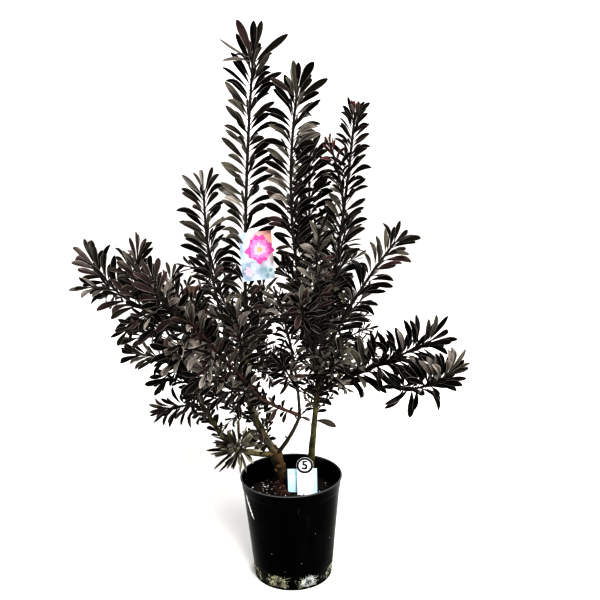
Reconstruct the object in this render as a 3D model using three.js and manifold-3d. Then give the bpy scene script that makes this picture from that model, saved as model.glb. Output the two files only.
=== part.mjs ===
// Potted leucadendron: a young evergreen shrub in a black plastic nursery pot.
// Millimetres, +Z up. The origin is the centre of the pot's flat underside, and -Y is the front.

import * as THREE from "three";
import { mergeVertices } from "three/addons/utils/BufferGeometryUtils.js";
import Module from "manifold-3d";

const wasm = await Module();
wasm.setup();

// Driving dimensions

// Space left between two pieces that touch on the real plant
const CLEARANCE = 0.35;

const POT = {
  height: 208,
  rimRadius: 100,
  baseRadius: 77,
  wall: 1.8,
  floor: 3,
  foot: 1.5,
  rimHeight: 4,
  rimOverhang: 1.6,
  rimRound: 1.2,
  bandHeight: 22,
  bandStep: 1.2,
  bandSlope: 2,
  segments: 40,
};

// Drain holes round the foot of the pot. arch is the height of their round top, as a share of
// half their width.
const DRAIN = { count: 8, width: 28, bottom: 4, height: 22, arch: 0.8, depth: 16, arcSteps: 4 };

// The potting mix is heaped a little round the stems
const MIX = { edgeHeight: 163, moundHeight: 24, moundSpread: 52, rings: 5, segments: 32 };

// Each foliage mass has its own seeded row of chances
const SEED = { first: 101, step: 37 };

// Leaf proportions: the widest place is past the middle, and the blade is thickest along its midrib.
// Leaves are shorter at the tip of a twig (young) and vary a little (uneven).
const LEAF = { width: 0.24, thickness: 0.03, widestAt: 0.62, young: 0.86, uneven: 0.05 };

// Each leaf stands a golden angle round from the last (degrees)
const SPIRAL = { turn: 137.5, jitter: 7 };

// Leaves of an upright shoot open wide at its foot and close up at its tip, and each blade turns
// on its own stalk. A rosette's leaves spread like a shuttlecock and lie flat (degrees).
const UPRIGHT = { foot: 62, tip: 28, jitter: 7, twist: 62, twistJitter: 20, spacing: 12 };
const ROSETTE = { foot: 88, tip: 25, jitter: 7, twist: 12, twistJitter: 15, spacing: 5 };

// Boughs are round, and the twigs inside the foliage are three-sided. step is the length of a section.
const BOUGH = { sides: 8, step: 34, fewestSteps: 3 };
const TWIG = { sides: 3, step: 55, taper: 0.6, sideThickness: 0.8, bare: 0.15 };

// Boughs, from the ground up. Each grows from a place on an earlier one (at, 0 to 1 along it).
// bow is how far the middle of the limb stands off the straight line from its foot to its tip.
const BOUGHS = [
  {
    name: "trunk",
    foot: [-15, 25, 177], tip: [-30, 0, 255], bow: [0, 0, 0],
    thick: [25, 21], flare: 7, bark: "brownBark",
  },
  {
    name: "left_bough",
    from: "trunk", at: 1, tip: [-80, 15, 450], bow: [-20, 0, -5],
    thick: [16, 9], bark: "greenBark",
  },
  {
    name: "middle_bough",
    from: "trunk", at: 0.9, tip: [20, -40, 345], bow: [5, 0, 0],
    thick: [8, 6.5], bark: "greenBark",
  },
  {
    name: "red_bough_lower",
    from: "middle_bough", at: 1, tip: [-50, -95, 400], bow: [-5, 0, 0],
    thick: [6.5, 6], bark: "redBark",
  },
  {
    name: "red_bough_upper",
    from: "red_bough_lower", at: 1, tip: [-158, -202, 576], bow: [0, 0, 0],
    thick: [6, 5], bark: "redBark",
  },
  {
    name: "low_bough",
    from: "trunk", at: 0.95, tip: [-140, -50, 335], bow: [-15, -10, -15],
    thick: [11, 8], bark: "greenBark",
  },
  {
    name: "low_bough_upper",
    from: "low_bough", at: 1, tip: [-186, -58, 450], bow: [-5, -3, 0],
    thick: [8, 6], bark: "greenBark",
  },
  {
    name: "right_bough",
    foot: [35, 44, 167], tip: [60, 15, 430], bow: [0, 0, 0],
    thick: [12, 9], flare: 3, bark: "greenBark",
  },
  {
    name: "right_side_bough",
    from: "right_bough", at: 0.75, tip: [97, 0, 398], bow: [0, 0, 0],
    thick: [7, 6.5], bark: "redBark",
  },
  {
    name: "back_left_bough",
    from: "left_bough", at: 0.75, tip: [-85, 110, 425], bow: [0, 0, -5],
    thick: [7, 6], bark: "greenBark",
  },
  {
    name: "back_right_bough",
    from: "right_bough", at: 0.9, tip: [45, 120, 425], bow: [5, 0, 5],
    thick: [7, 6], bark: "greenBark",
  },
];

// Foliage masses. leaf is the length of a full-grown leaf, and bare the share of the stem without leaves.
// sides are twigs of the same mass. rosette is a count of leaves close together at the stem's tip.
const SHOOTS = [
  {
    name: "tall_shoot",
    from: "left_bough", at: 1, tip: [-45, -15, 1010], bow: [-10, 0, 5],
    thick: 8, leaf: 68, bare: 0.14,
  },
  {
    name: "left_upright_shoot",
    from: "left_bough", at: 0.68, tip: [-145, 0, 765], bow: [-20, 10, -5],
    thick: 7, leaf: 58, bare: 0.2,
  },
  {
    name: "inner_left_shoot",
    from: "left_bough", at: 0.9, tip: [-50, 60, 535], bow: [0, 5, -5],
    thick: 6, leaf: 52, bare: 0.2,
  },
  {
    name: "far_left_shoot",
    from: "red_bough_upper", at: 1, tip: [-315, -160, 670], bow: [-10, -5, -20],
    thick: 5.5, leaf: 60, bare: 0.05,
    sides: [{ at: 0.36, tip: [-230, -210, 685], bow: [-10, 0, 0], leaf: 48 }],
  },
  {
    name: "near_left_shoot",
    from: "red_bough_upper", at: 0.97, tip: [-205, -255, 665], bow: [-8, -5, -6],
    thick: 5, leaf: 56, bare: 0.1,
  },
  {
    name: "arm_low_shoot",
    from: "red_bough_upper", at: 0.08, tip: [-120, -150, 426], bow: [0, 0, 6],
    thick: 5, leaf: 54, rosette: 11,
  },
  {
    name: "arm_under_shoot",
    from: "red_bough_upper", at: 0.3, tip: [-150, -150, 459], bow: [0, 0, 8],
    thick: 5, leaf: 54, rosette: 11,
  },
  {
    name: "arm_upper_shoot",
    from: "red_bough_upper", at: 0.3, tip: [-86, -120, 557], bow: [4, 4, 0],
    thick: 5, leaf: 52, bare: 0.3,
  },
  {
    name: "arm_middle_shoot",
    from: "red_bough_upper", at: 0.5, tip: [-178, -215, 529], bow: [0, 0, 8],
    thick: 5, leaf: 56, rosette: 12,
  },
  {
    name: "arm_outer_shoot",
    from: "red_bough_upper", at: 0.76, tip: [-216, -225, 573], bow: [0, 0, 6],
    thick: 5, leaf: 56, rosette: 12,
  },
  {
    name: "dark_left_shoot",
    from: "red_bough_upper", at: 0.86, tip: [-180, -140, 645], bow: [-5, 5, -5],
    thick: 5, leaf: 50, bare: 0.15,
  },
  {
    name: "orange_left_shoot",
    from: "red_bough_upper", at: 0.68, tip: [-155, -170, 635], bow: [-5, -10, 0],
    thick: 5, leaf: 46, bare: 0.25,
  },
  {
    name: "low_left_shoot",
    from: "low_bough_upper", at: 1, tip: [-203, -52, 510], bow: [0, 0, 0],
    thick: 5.5, leaf: 54, rosette: 13,
  },
  {
    name: "low_side_shoot",
    from: "low_bough_upper", at: 0.93, tip: [-280, -90, 490], bow: [10, -10, 10],
    thick: 5, leaf: 46, bare: 0.2,
  },
  {
    name: "low_twig_shoot",
    from: "low_bough_upper", at: 0.2, tip: [-220, -85, 380], bow: [5, 0, 10],
    thick: 5, leaf: 42, rosette: 13,
  },
  {
    name: "low_rosette",
    from: "low_bough", at: 0.4, tip: [-100, -90, 305], bow: [0, 0, 0],
    thick: 5, leaf: 48, rosette: 14,
  },
  {
    name: "left_low_shoot",
    from: "left_bough", at: 0.36, tip: [-113, -50, 374], bow: [0, 0, -4],
    thick: 5, leaf: 44, rosette: 11,
  },
  {
    name: "left_side_shoot",
    from: "left_bough", at: 0.52, tip: [-141, -10, 424], bow: [0, 0, -4],
    thick: 5, leaf: 50, rosette: 12,
  },
  {
    name: "left_front_shoot",
    from: "left_bough", at: 0.62, tip: [-80, -70, 425], bow: [0, -4, -4],
    thick: 5, leaf: 46, rosette: 10,
  },
  {
    name: "centre_tall_shoot",
    from: "right_bough", at: 1, tip: [25, -25, 940], bow: [-30, -5, 0],
    thick: 8, leaf: 64, bare: 0.16,
  },
  {
    name: "right_tall_shoot",
    from: "right_bough", at: 0.97, tip: [135, 65, 905], bow: [5, 10, -5],
    thick: 8, leaf: 50, bare: 0.2,
    sides: [{ at: 0.63, tip: [85, 10, 845], bow: [5, 0, -3], leaf: 42 }],
  },
  {
    name: "right_middle_shoot",
    from: "right_bough", at: 0.95, tip: [215, 40, 665], bow: [-10, 0, 0],
    thick: 7, leaf: 58, bare: 0.2,
  },
  {
    name: "front_upright_shoot",
    from: "right_bough", at: 0.87, tip: [60, -125, 715], bow: [-8, -20, -5],
    thick: 6.5, leaf: 52, bare: 0.3,
  },
  {
    name: "front_rosette",
    from: "right_bough", at: 0.84, tip: [25, -190, 595], bow: [0, 0, 5],
    thick: 6, leaf: 60, rosette: 16,
  },
  {
    name: "inner_right_shoot",
    from: "right_bough", at: 0.99, tip: [95, -40, 685], bow: [-8, -5, 0],
    thick: 6, leaf: 52, bare: 0.2,
  },
  {
    name: "right_end_shoot",
    from: "right_side_bough", at: 1, tip: [255, -95, 510], bow: [-5, -14, 0],
    thick: 6.5, leaf: 58, bare: 0.04,
    sides: [{ at: 0.5, tip: [270, -175, 465], bow: [-5, -10, -30], leaf: 58, rosette: 17 }],
  },
  {
    name: "right_front_shoot",
    from: "right_bough", at: 0.85, tip: [95, -80, 479], bow: [0, -5, -5],
    thick: 5.5, leaf: 48, bare: 0.3,
  },
  {
    name: "right_inner_shoot",
    from: "right_bough", at: 0.93, tip: [160, 95, 470], bow: [-10, 0, 15],
    thick: 5, leaf: 50, bare: 0.3,
  },
  {
    name: "middle_shoot",
    from: "middle_bough", at: 0.98, tip: [-20, -55, 585], bow: [10, -10, 0],
    thick: 6, leaf: 54, bare: 0.25,
    sides: [{ at: 0.2, tip: [-5, -130, 460], bow: [0, -5, 5], leaf: 46, rosette: 12 }],
  },
  {
    name: "back_left_shoot",
    from: "back_left_bough", at: 1, tip: [-165, 200, 640], bow: [-10, 20, -10],
    thick: 6, leaf: 54, bare: 0.15,
  },
  {
    name: "back_middle_shoot",
    from: "back_left_bough", at: 0.95, tip: [-55, 245, 535], bow: [5, 5, -10],
    thick: 5.5, leaf: 54, bare: 0.15,
  },
  {
    name: "back_low_left_shoot",
    from: "back_left_bough", at: 0.75, tip: [-195, 200, 450], bow: [5, 5, 5],
    thick: 5.5, leaf: 54, bare: 0.2,
  },
  {
    name: "back_low_shoot",
    from: "back_left_bough", at: 0.5, tip: [-20, 230, 390], bow: [0, 0, -10],
    thick: 5.5, leaf: 54, bare: 0.3,
  },
  {
    name: "back_tall_shoot",
    from: "back_right_bough", at: 0.95, tip: [50, 120, 820], bow: [-2, 14, -10],
    thick: 7, leaf: 58, bare: 0.15,
  },
  {
    name: "back_centre_shoot",
    from: "back_right_bough", at: 1, tip: [20, 250, 535], bow: [0, 5, -10],
    thick: 5.5, leaf: 54, bare: 0.15,
  },
  {
    name: "back_right_shoot",
    from: "back_right_bough", at: 0.75, tip: [125, 185, 710], bow: [0, 15, -5],
    thick: 6.5, leaf: 54, bare: 0.15,
  },
  {
    name: "back_far_right_shoot",
    from: "back_right_bough", at: 0.6, tip: [165, 200, 525], bow: [-5, 10, -5],
    thick: 5.5, leaf: 54, bare: 0.25,
  },
  {
    name: "back_low_right_shoot",
    from: "back_right_bough", at: 0.3, tip: [180, 205, 400], bow: [-10, 5, -15],
    thick: 5.5, leaf: 54, bare: 0.3,
  },
];

// Labels that stand in the mix
const RING_LABEL = { width: 31, headRadius: 16.5, top: 256, foot: 140, x: 27, y: -32, thickness: 0.9 };
const PLAIN_LABEL = { width: 57, top: 230, foot: 140, x: 22, y: -25, thickness: 0.8 };

// The picture tag that hangs on the tallest shoot. turn and yaw are its tilt and its way round (degrees).
const TAG = {
  width: 61,
  height: 87,
  thickness: 0.8,
  corner: 3,
  centre: [-53, 2, 645],
  turn: 6,
  yaw: 12,
  cornerSteps: 3,
  loop: { height: 682, inner: 3.8, wall: 1.4, width: 5, segments: 12 },
};

// Solids

const up = new THREE.Vector3(0, 0, 1);
const MERGE_DISTANCE = 1e-4;
const ARC_STEPS = 12;
const CURVE_SEARCH_STEP = 0.002;
const vector = (values) => new THREE.Vector3(...values);
const radians = THREE.MathUtils.degToRad;
const lerp = THREE.MathUtils.lerp;

// A seeded row of numbers from 0 to 1, so that each build gives the same plant
function randomRow(seed) {
  let state = seed;
  return () => {
    state = (state * 1664525 + 1013904223) % 4294967296;
    return state / 4294967296;
  };
}

// A closed three.js geometry as a solid, turned to face outwards
function solidOf(geometry) {
  const plain = new THREE.BufferGeometry();
  const source = geometry.index ? geometry.toNonIndexed() : geometry;
  plain.setAttribute("position", source.getAttribute("position"));
  const merged = mergeVertices(plain, MERGE_DISTANCE);
  const points = merged.getAttribute("position").array;
  const faces = [];
  for (let i = 0; i < merged.index.count; i += 3) {
    const [a, b, c] = merged.index.array.slice(i, i + 3);
    if (a !== b && b !== c && c !== a) faces.push(a, b, c);
  }
  return solidFrom(points, faces);
}

function solidFrom(points, faces) {
  const make = (list) =>
    new wasm.Manifold(
      new wasm.Mesh({
        numProp: 3,
        vertProperties: Float32Array.from(points),
        triVerts: Uint32Array.from(list),
      }),
    );
  const made = make(faces);
  if (made.volume() > 0) return made;
  const turned = [];
  for (let i = 0; i < faces.length; i += 3) turned.push(faces[i], faces[i + 2], faces[i + 1]);
  return make(turned);
}

// Drops loose scraps and fills sealed hollows
function largestPiece(solid) {
  return solid.decompose().reduce((best, piece) => (piece.volume() > best.volume() ? piece : best));
}

function boxesMeet(a, b) {
  const [p, q] = [a.boundingBox(), b.boundingBox()];
  return [0, 1, 2].every((k) => p.min[k] <= q.max[k] && q.min[k] <= p.max[k]);
}

// Joins solids two by two, so that no join is larger than it has to be
function joined(solids) {
  let row = solids;
  while (row.length > 1) {
    const next = [];
    for (let i = 0; i < row.length; i += 2) next.push(i + 1 < row.length ? row[i].add(row[i + 1]) : row[i]);
    row = next;
  }
  return row[0];
}

function cutClearOf(solid, others) {
  const near = others.filter((other) => boxesMeet(solid, other));
  return largestPiece(near.reduce((left, other) => left.subtract(other), solid));
}

const plant = new THREE.Group();

function addNode(name, solid, material, details = {}) {
  const mesh = solid.getMesh();
  const geometry = new THREE.BufferGeometry();
  geometry.setAttribute("position", new THREE.BufferAttribute(Float32Array.from(mesh.vertProperties), 3));
  geometry.setIndex(new THREE.BufferAttribute(Uint32Array.from(mesh.triVerts), 1));
  geometry.computeVertexNormals();
  const node = new THREE.Mesh(geometry, material);
  node.name = name;
  node.userData = details;
  plant.add(node);
}

// Looks

function look(color, roughness) {
  return new THREE.MeshStandardMaterial({ color, roughness, metalness: 0 });
}

const looks = {
  pot: look(0x141414, 0.38),
  mix: look(0x2b2019, 0.95),
  brownBark: look(0x4b3a26, 0.85),
  greenBark: look(0x555231, 0.8),
  redBark: look(0x5a3128, 0.75),
  leaves: look(0x3b2a2e, 0.55),
  label: look(0xe9eaec, 0.4),
  blueLabel: look(0xa9cfe6, 0.4),
  tag: look(0xd8c6d6, 0.3),
};

// Pot and potting mix

function potRadius(height) {
  return lerp(POT.baseRadius, POT.rimRadius - POT.rimOverhang - POT.bandStep, height / POT.height);
}

// A profile of [radius, height] points turned about the pot's axis
function turned(profile, segments) {
  const points = profile.map(([radius, height]) => new THREE.Vector2(radius, height));
  return new THREE.LatheGeometry(points, segments).rotateX(Math.PI / 2);
}

// A round-topped doorway through the foot of the wall, as an outline pushed along X
function drainCutter() {
  const half = DRAIN.width / 2;
  const rise = half * DRAIN.arch;
  const shoulder = DRAIN.bottom + DRAIN.height - rise;
  const outline = new THREE.Shape();
  outline.moveTo(-half, DRAIN.bottom);
  outline.lineTo(half, DRAIN.bottom);
  outline.lineTo(half, shoulder);
  outline.absellipse(0, shoulder, half, rise, 0, Math.PI, false);
  outline.closePath();
  const geometry = new THREE.ExtrudeGeometry(outline, {
    depth: DRAIN.depth,
    bevelEnabled: false,
    curveSegments: DRAIN.arcSteps,
  });
  return geometry.rotateX(Math.PI / 2).rotateZ(Math.PI / 2);
}

function buildPot() {
  const bandFoot = POT.height - POT.bandHeight;
  const rimFoot = POT.height - POT.rimHeight;
  const inner = (height) => potRadius(height) - POT.wall;
  const rim = POT.rimRadius;
  const round = POT.rimRound;
  const profile = [
    [0, 0],
    [POT.baseRadius - POT.foot, 0],
    [POT.baseRadius, POT.foot],
    [potRadius(bandFoot - POT.bandSlope), bandFoot - POT.bandSlope],
    [potRadius(bandFoot) + POT.bandStep, bandFoot],
    [potRadius(rimFoot) + POT.bandStep, rimFoot],
    [rim, rimFoot + round],
    [rim, POT.height - round],
    [rim - round, POT.height],
    [inner(POT.height) + round, POT.height],
    [inner(POT.height), POT.height - round],
    [inner(bandFoot), bandFoot],
    [inner(POT.floor), POT.floor],
    [0, POT.floor],
  ];
  let pot = solidOf(turned(profile, POT.segments));
  for (let i = 0; i < DRAIN.count; i += 1) {
    const angle = ((i + 0.5) / DRAIN.count) * 2 * Math.PI;
    const cutter = drainCutter();
    cutter.translate(POT.baseRadius - DRAIN.depth / 2, 0, 0).rotateZ(angle);
    pot = pot.subtract(solidOf(cutter));
  }
  return largestPiece(pot);
}

function mixHeight(radius) {
  return MIX.edgeHeight + MIX.moundHeight * Math.exp(-((radius / MIX.moundSpread) ** 2));
}

function buildMix() {
  const gap = POT.wall + CLEARANCE;
  const foot = POT.floor + CLEARANCE;
  const edge = potRadius(MIX.edgeHeight) - gap;
  const profile = [
    [0, foot],
    [potRadius(foot) - gap, foot],
  ];
  for (let i = 0; i < MIX.rings; i += 1) {
    const radius = edge * (1 - i / MIX.rings);
    profile.push([radius, mixHeight(radius)]);
  }
  profile.push([0, mixHeight(0)]);
  return solidOf(turned(profile, MIX.segments));
}

// Limbs

// The curve of a limb: one bend, through the bowed middle
function limbCurve(foot, tip, bow) {
  const middle = foot.clone().add(tip).multiplyScalar(0.5).addScaledVector(bow, 2);
  return new THREE.QuadraticBezierCurve3(foot, middle, tip);
}

// A tapering limb round a curve. grow makes it that much thicker and longer, as a tool to cut with.
function limbSolid(curve, footRadius, tipRadius, options = {}) {
  const { sides, step, fewestSteps, flare = 0, grow = 0 } = { ...BOUGH, ...options };
  const steps = Math.max(fewestSteps, Math.round(curve.getLength() / step));
  const frames = curve.computeFrenetFrames(steps, false);
  const points = [];
  for (let i = 0; i <= steps; i += 1) {
    const share = i / steps;
    const centre = curve.getPointAt(share);
    if (i === 0) centre.addScaledVector(frames.tangents[0], -grow);
    if (i === steps) centre.addScaledVector(frames.tangents[steps], grow);
    const radius = lerp(footRadius, tipRadius, share) + flare * (1 - share) ** 3 + grow;
    for (let k = 0; k < sides; k += 1) {
      const angle = (k / sides) * 2 * Math.PI;
      const place = centre.clone();
      place.addScaledVector(frames.normals[i], radius * Math.cos(angle));
      place.addScaledVector(frames.binormals[i], radius * Math.sin(angle));
      points.push(...place.toArray());
    }
  }
  const faces = [];
  for (let i = 0; i < steps; i += 1) {
    for (let k = 0; k < sides; k += 1) {
      const [a, b] = [i * sides + k, i * sides + ((k + 1) % sides)];
      faces.push(a, b, b + sides, a, b + sides, a + sides);
    }
  }
  const last = steps * sides;
  for (let k = 1; k < sides - 1; k += 1) {
    faces.push(0, k + 1, k, last, last + k, last + k + 1);
  }
  return solidFrom(points, faces);
}

const curves = new Map();
const boughTools = [];

function footOf(limb) {
  return limb.foot ? vector(limb.foot) : curves.get(limb.from).getPoint(limb.at);
}

// Leaves

// A leaf of six corners and eight faces: root, tip, two edges and the two sides of the midrib
function leafSolid(root, along, face, length, grow = 0) {
  const across = new THREE.Vector3().crossVectors(along, face).normalize();
  const halfWidth = (length * LEAF.width) / 2 + grow;
  const halfThickness = (length * LEAF.thickness) / 2 + grow;
  const widest = root.clone().addScaledVector(along, length * LEAF.widestAt);
  const corners = [
    root.clone().addScaledVector(along, -grow),
    widest.clone().addScaledVector(across, halfWidth),
    widest.clone().addScaledVector(face, halfThickness),
    widest.clone().addScaledVector(across, -halfWidth),
    widest.clone().addScaledVector(face, -halfThickness),
    root.clone().addScaledVector(along, length + grow),
  ];
  const faces = [];
  for (let k = 1; k <= 4; k += 1) {
    const next = (k % 4) + 1;
    faces.push(0, k, next, 5, next, k);
  }
  return solidFrom(corners.flatMap((corner) => corner.toArray()), faces);
}

// Where the leaves of a twig stand: in a spiral, opening less and less towards the tip
function leafPlaces(curve, twig, random) {
  const around = (spread) => (random() * 2 - 1) * spread;
  const habit = twig.rosette ? ROSETTE : UPRIGHT;
  const length = curve.getLength();
  const leafy = twig.rosette ? twig.rosette * habit.spacing : length * (1 - twig.bare);
  const count = Math.round(leafy / habit.spacing);
  const places = [];
  for (let i = 0; i < count; i += 1) {
    const share = (i + 0.5) / count;
    const place = 1 - (leafy / length) * (1 - share);
    const tangent = curve.getTangentAt(place);
    const side = new THREE.Vector3().crossVectors(tangent, up).normalize();
    side.applyAxisAngle(tangent, radians(i * SPIRAL.turn + around(SPIRAL.jitter)));
    const open = radians(lerp(habit.foot, habit.tip, share ** 2) + around(habit.jitter));
    const along = tangent.clone().multiplyScalar(Math.cos(open)).addScaledVector(side, Math.sin(open));
    const face = new THREE.Vector3().crossVectors(side, tangent).cross(along).normalize();
    face.applyAxisAngle(along, radians(habit.twist + around(habit.twistJitter)));
    const size = twig.leaf * lerp(1, LEAF.young, share) * (1 + around(LEAF.uneven));
    places.push({ root: curve.getPointAt(place), along, face, size });
  }
  return places;
}

// Build

const pot = buildPot();
let mix = buildMix();

// Boughs, each cut clear of the ones before it
const boughs = [];
for (const bough of BOUGHS) {
  const curve = limbCurve(footOf(bough), vector(bough.tip), vector(bough.bow));
  curves.set(bough.name, curve);
  const [footRadius, tipRadius] = bough.thick.map((thick) => thick / 2);
  const { flare } = bough;
  boughs.push({ bough, solid: cutClearOf(limbSolid(curve, footRadius, tipRadius, { flare }), boughTools) });
  const tool = limbSolid(curve, footRadius, tipRadius, { flare, grow: CLEARANCE });
  boughTools.push(tool);
  if (bough.foot) mix = mix.subtract(tool);
}

// A flat piece standing upright and facing the front, with its foot pushed into the mix
function standingPlate(outline, { x, y, thickness }, grow = 0) {
  const geometry = new THREE.ExtrudeGeometry(outline, {
    depth: thickness + 2 * grow,
    bevelEnabled: false,
    curveSegments: ARC_STEPS,
  });
  geometry.translate(0, 0, -thickness / 2 - grow).rotateX(Math.PI / 2);
  return solidOf(geometry.translate(x, y, 0));
}

function ringLabelOutline(grow) {
  const { headRadius, top, foot } = RING_LABEL;
  const half = RING_LABEL.width / 2 + grow;
  const radius = headRadius + grow;
  const centre = top - headRadius;
  const meet = Math.asin(Math.min(1, half / radius));
  const outline = new THREE.Shape();
  outline.moveTo(-half, foot - grow);
  outline.lineTo(half, foot - grow);
  outline.lineTo(half, centre - radius * Math.cos(meet));
  outline.absarc(0, centre, radius, meet - Math.PI / 2, 1.5 * Math.PI - meet, false);
  outline.closePath();
  return outline;
}

function plainLabelOutline(grow) {
  const { top, foot } = PLAIN_LABEL;
  const half = PLAIN_LABEL.width / 2 + grow;
  const outline = new THREE.Shape();
  outline.moveTo(-half, foot - grow);
  outline.lineTo(half, foot - grow);
  outline.lineTo(half, top + grow);
  outline.lineTo(-half, top + grow);
  outline.closePath();
  return outline;
}

const ringLabel = standingPlate(ringLabelOutline(0), RING_LABEL);
const plainLabel = standingPlate(plainLabelOutline(0), PLAIN_LABEL);
mix = mix.subtract(standingPlate(ringLabelOutline(CLEARANCE), RING_LABEL, CLEARANCE));
mix = largestPiece(mix.subtract(standingPlate(plainLabelOutline(CLEARANCE), PLAIN_LABEL, CLEARANCE)));

// Stems of the foliage masses, each cut clear of the boughs and of the stems before it
const masses = [];
const stemTools = [];
for (const shoot of SHOOTS) {
  const curve = limbCurve(footOf(shoot), vector(shoot.tip), vector(shoot.bow));
  curves.set(shoot.name, curve);
  const twigs = [{ ...shoot, curve }];
  for (const side of shoot.sides ?? []) {
    const sideCurve = limbCurve(curve.getPoint(side.at), vector(side.tip), vector(side.bow));
    twigs.push({ bare: TWIG.bare, ...side, thick: shoot.thick * TWIG.sideThickness, curve: sideCurve });
  }
  const stem = (grow) =>
    joined(
      twigs.map((twig) => {
        const radius = twig.thick / 2;
        return limbSolid(twig.curve, radius, radius * TWIG.taper, { ...TWIG, grow });
      }),
    );
  const solid = cutClearOf(stem(0), [...boughTools, ...stemTools]);
  stemTools.push(stem(CLEARANCE));
  masses.push({ shoot, twigs, solid, leaves: 0 });
}

// A card with round corners
function tagOutline() {
  const [w, h, c] = [TAG.width / 2, TAG.height / 2, TAG.corner];
  const outline = new THREE.Shape();
  outline.absarc(w - c, c - h, c, -Math.PI / 2, 0, false);
  outline.absarc(w - c, h - c, c, 0, Math.PI / 2, false);
  outline.absarc(c - w, h - c, c, Math.PI / 2, Math.PI, false);
  outline.absarc(c - w, c - h, c, Math.PI, 1.5 * Math.PI, false);
  outline.closePath();
  return outline;
}

// The tag hangs in front of the tallest shoot, whose stem passes through a loop at the tag's head
function buildTag() {
  const plate = new THREE.ExtrudeGeometry(tagOutline(), {
    depth: TAG.thickness,
    bevelEnabled: false,
    curveSegments: TAG.cornerSteps,
  });
  plate.translate(0, 0, -TAG.thickness / 2).rotateZ(radians(TAG.turn));
  plate.rotateX(Math.PI / 2).rotateZ(radians(TAG.yaw)).translate(...TAG.centre);

  const stem = curves.get("tall_shoot");
  let place = 0;
  while (stem.getPointAt(place).z < TAG.loop.height) place += CURVE_SEARCH_STEP;
  const { inner, wall, width, segments } = TAG.loop;
  const band = [
    [inner, -width / 2],
    [inner + wall, -width / 2],
    [inner + wall, width / 2],
    [inner, width / 2],
    [inner, -width / 2],
  ];
  const turn = new THREE.Quaternion().setFromUnitVectors(up, stem.getTangentAt(place));
  const loop = turned(band, segments).applyQuaternion(turn).translate(...stem.getPointAt(place).toArray());
  return solidOf(plate).add(solidOf(loop));
}

const tag = buildTag();
const fixed = [pot, mix, ringLabel, plainLabel, tag, ...boughs.map(({ solid }) => solid)];

// Leaves, each skipped where it would touch a limb or another mass
masses.forEach((mass, index) => {
  const random = randomRow(SEED.first + index * SEED.step);
  const others = [...fixed, ...masses.filter((other) => other !== mass).map(({ solid }) => solid)];
  const leaves = [];
  for (const twig of mass.twigs) {
    for (const { root, along, face, size } of leafPlaces(twig.curve, twig, random)) {
      const wide = leafSolid(root, along, face, size, CLEARANCE);
      const touches = others.some((other) => boxesMeet(wide, other) && wide.intersect(other).volume() > 0);
      if (!touches) leaves.push(leafSolid(root, along, face, size));
    }
  }
  mass.solid = largestPiece(joined([mass.solid, ...leaves]));
  mass.leaves = leaves.length;
});

addNode("pot", pot, looks.pot);
addNode("potting_mix", mix, looks.mix);
for (const { bough, solid } of boughs) addNode(bough.name, solid, looks[bough.bark]);
for (const { shoot, solid, leaves } of masses) addNode(shoot.name, solid, looks.leaves, { leaves });
addNode("ring_label", ringLabel, looks.label);
addNode("plain_label", plainLabel, looks.blueLabel);
addNode("picture_tag", tag, looks.tag);

export default plant;
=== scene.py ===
"""Potted leucadendron: the looks of the shrub, its pot, its labels and its picture tag.

Run as a script in Blender 4.5. Metres, +Z up. The origin is the centre of the pot's flat underside, and
-Y is the front.
"""

import math
import random
from contextlib import contextmanager
from types import SimpleNamespace

import bpy
import numpy as np
from bpy.props import FloatProperty, FloatVectorProperty, IntProperty, PointerProperty
from mathutils import Matrix, Vector, kdtree, noise


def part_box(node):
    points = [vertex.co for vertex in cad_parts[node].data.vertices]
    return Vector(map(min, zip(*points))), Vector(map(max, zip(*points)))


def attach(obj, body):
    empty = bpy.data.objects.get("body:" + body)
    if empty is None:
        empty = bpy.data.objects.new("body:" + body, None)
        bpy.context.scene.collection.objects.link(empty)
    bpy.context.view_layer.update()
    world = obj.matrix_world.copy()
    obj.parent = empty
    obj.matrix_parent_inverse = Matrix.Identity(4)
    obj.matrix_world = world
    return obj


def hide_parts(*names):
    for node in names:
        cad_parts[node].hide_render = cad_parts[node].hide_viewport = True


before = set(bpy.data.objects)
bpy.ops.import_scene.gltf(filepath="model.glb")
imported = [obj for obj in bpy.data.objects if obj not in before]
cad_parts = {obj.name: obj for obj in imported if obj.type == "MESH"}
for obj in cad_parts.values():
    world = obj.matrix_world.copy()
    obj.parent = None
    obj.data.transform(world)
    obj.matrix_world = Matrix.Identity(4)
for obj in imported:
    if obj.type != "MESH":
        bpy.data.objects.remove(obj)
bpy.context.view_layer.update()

bl_info = {
    "name": "Potted leucadendron",
    "version": (1, 0, 0),
    "blender": (4, 5, 0),
    "location": "3D View > Sidebar > Plant",
    "description": "Builds the looks of a potted leucadendron round its solids",
    "category": "Object",
}

MM = 0.001
GOLDEN_TURN = math.radians(137.5)
STRAIGHT = (0, 0, 0)
UPRIGHT_TURN = (math.pi / 2, 0, 0)


def bough(grows, at, tip, bow, thick, bark, damp=0.9, **more):
    """A bough, in millimetres. It grows at a share of another limb's length, or has a foot in the mix. bow
    is how far its middle stands off the straight line, and thick its width at foot and tip. flare widens its
    foot and burl its head. knots are knobs: how many, between which shares of its length, and how large."""
    return dict(grows=grows, at=at, tip=tip, bow=bow, thick=thick, bark=bark, damp=damp, **more)


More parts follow.
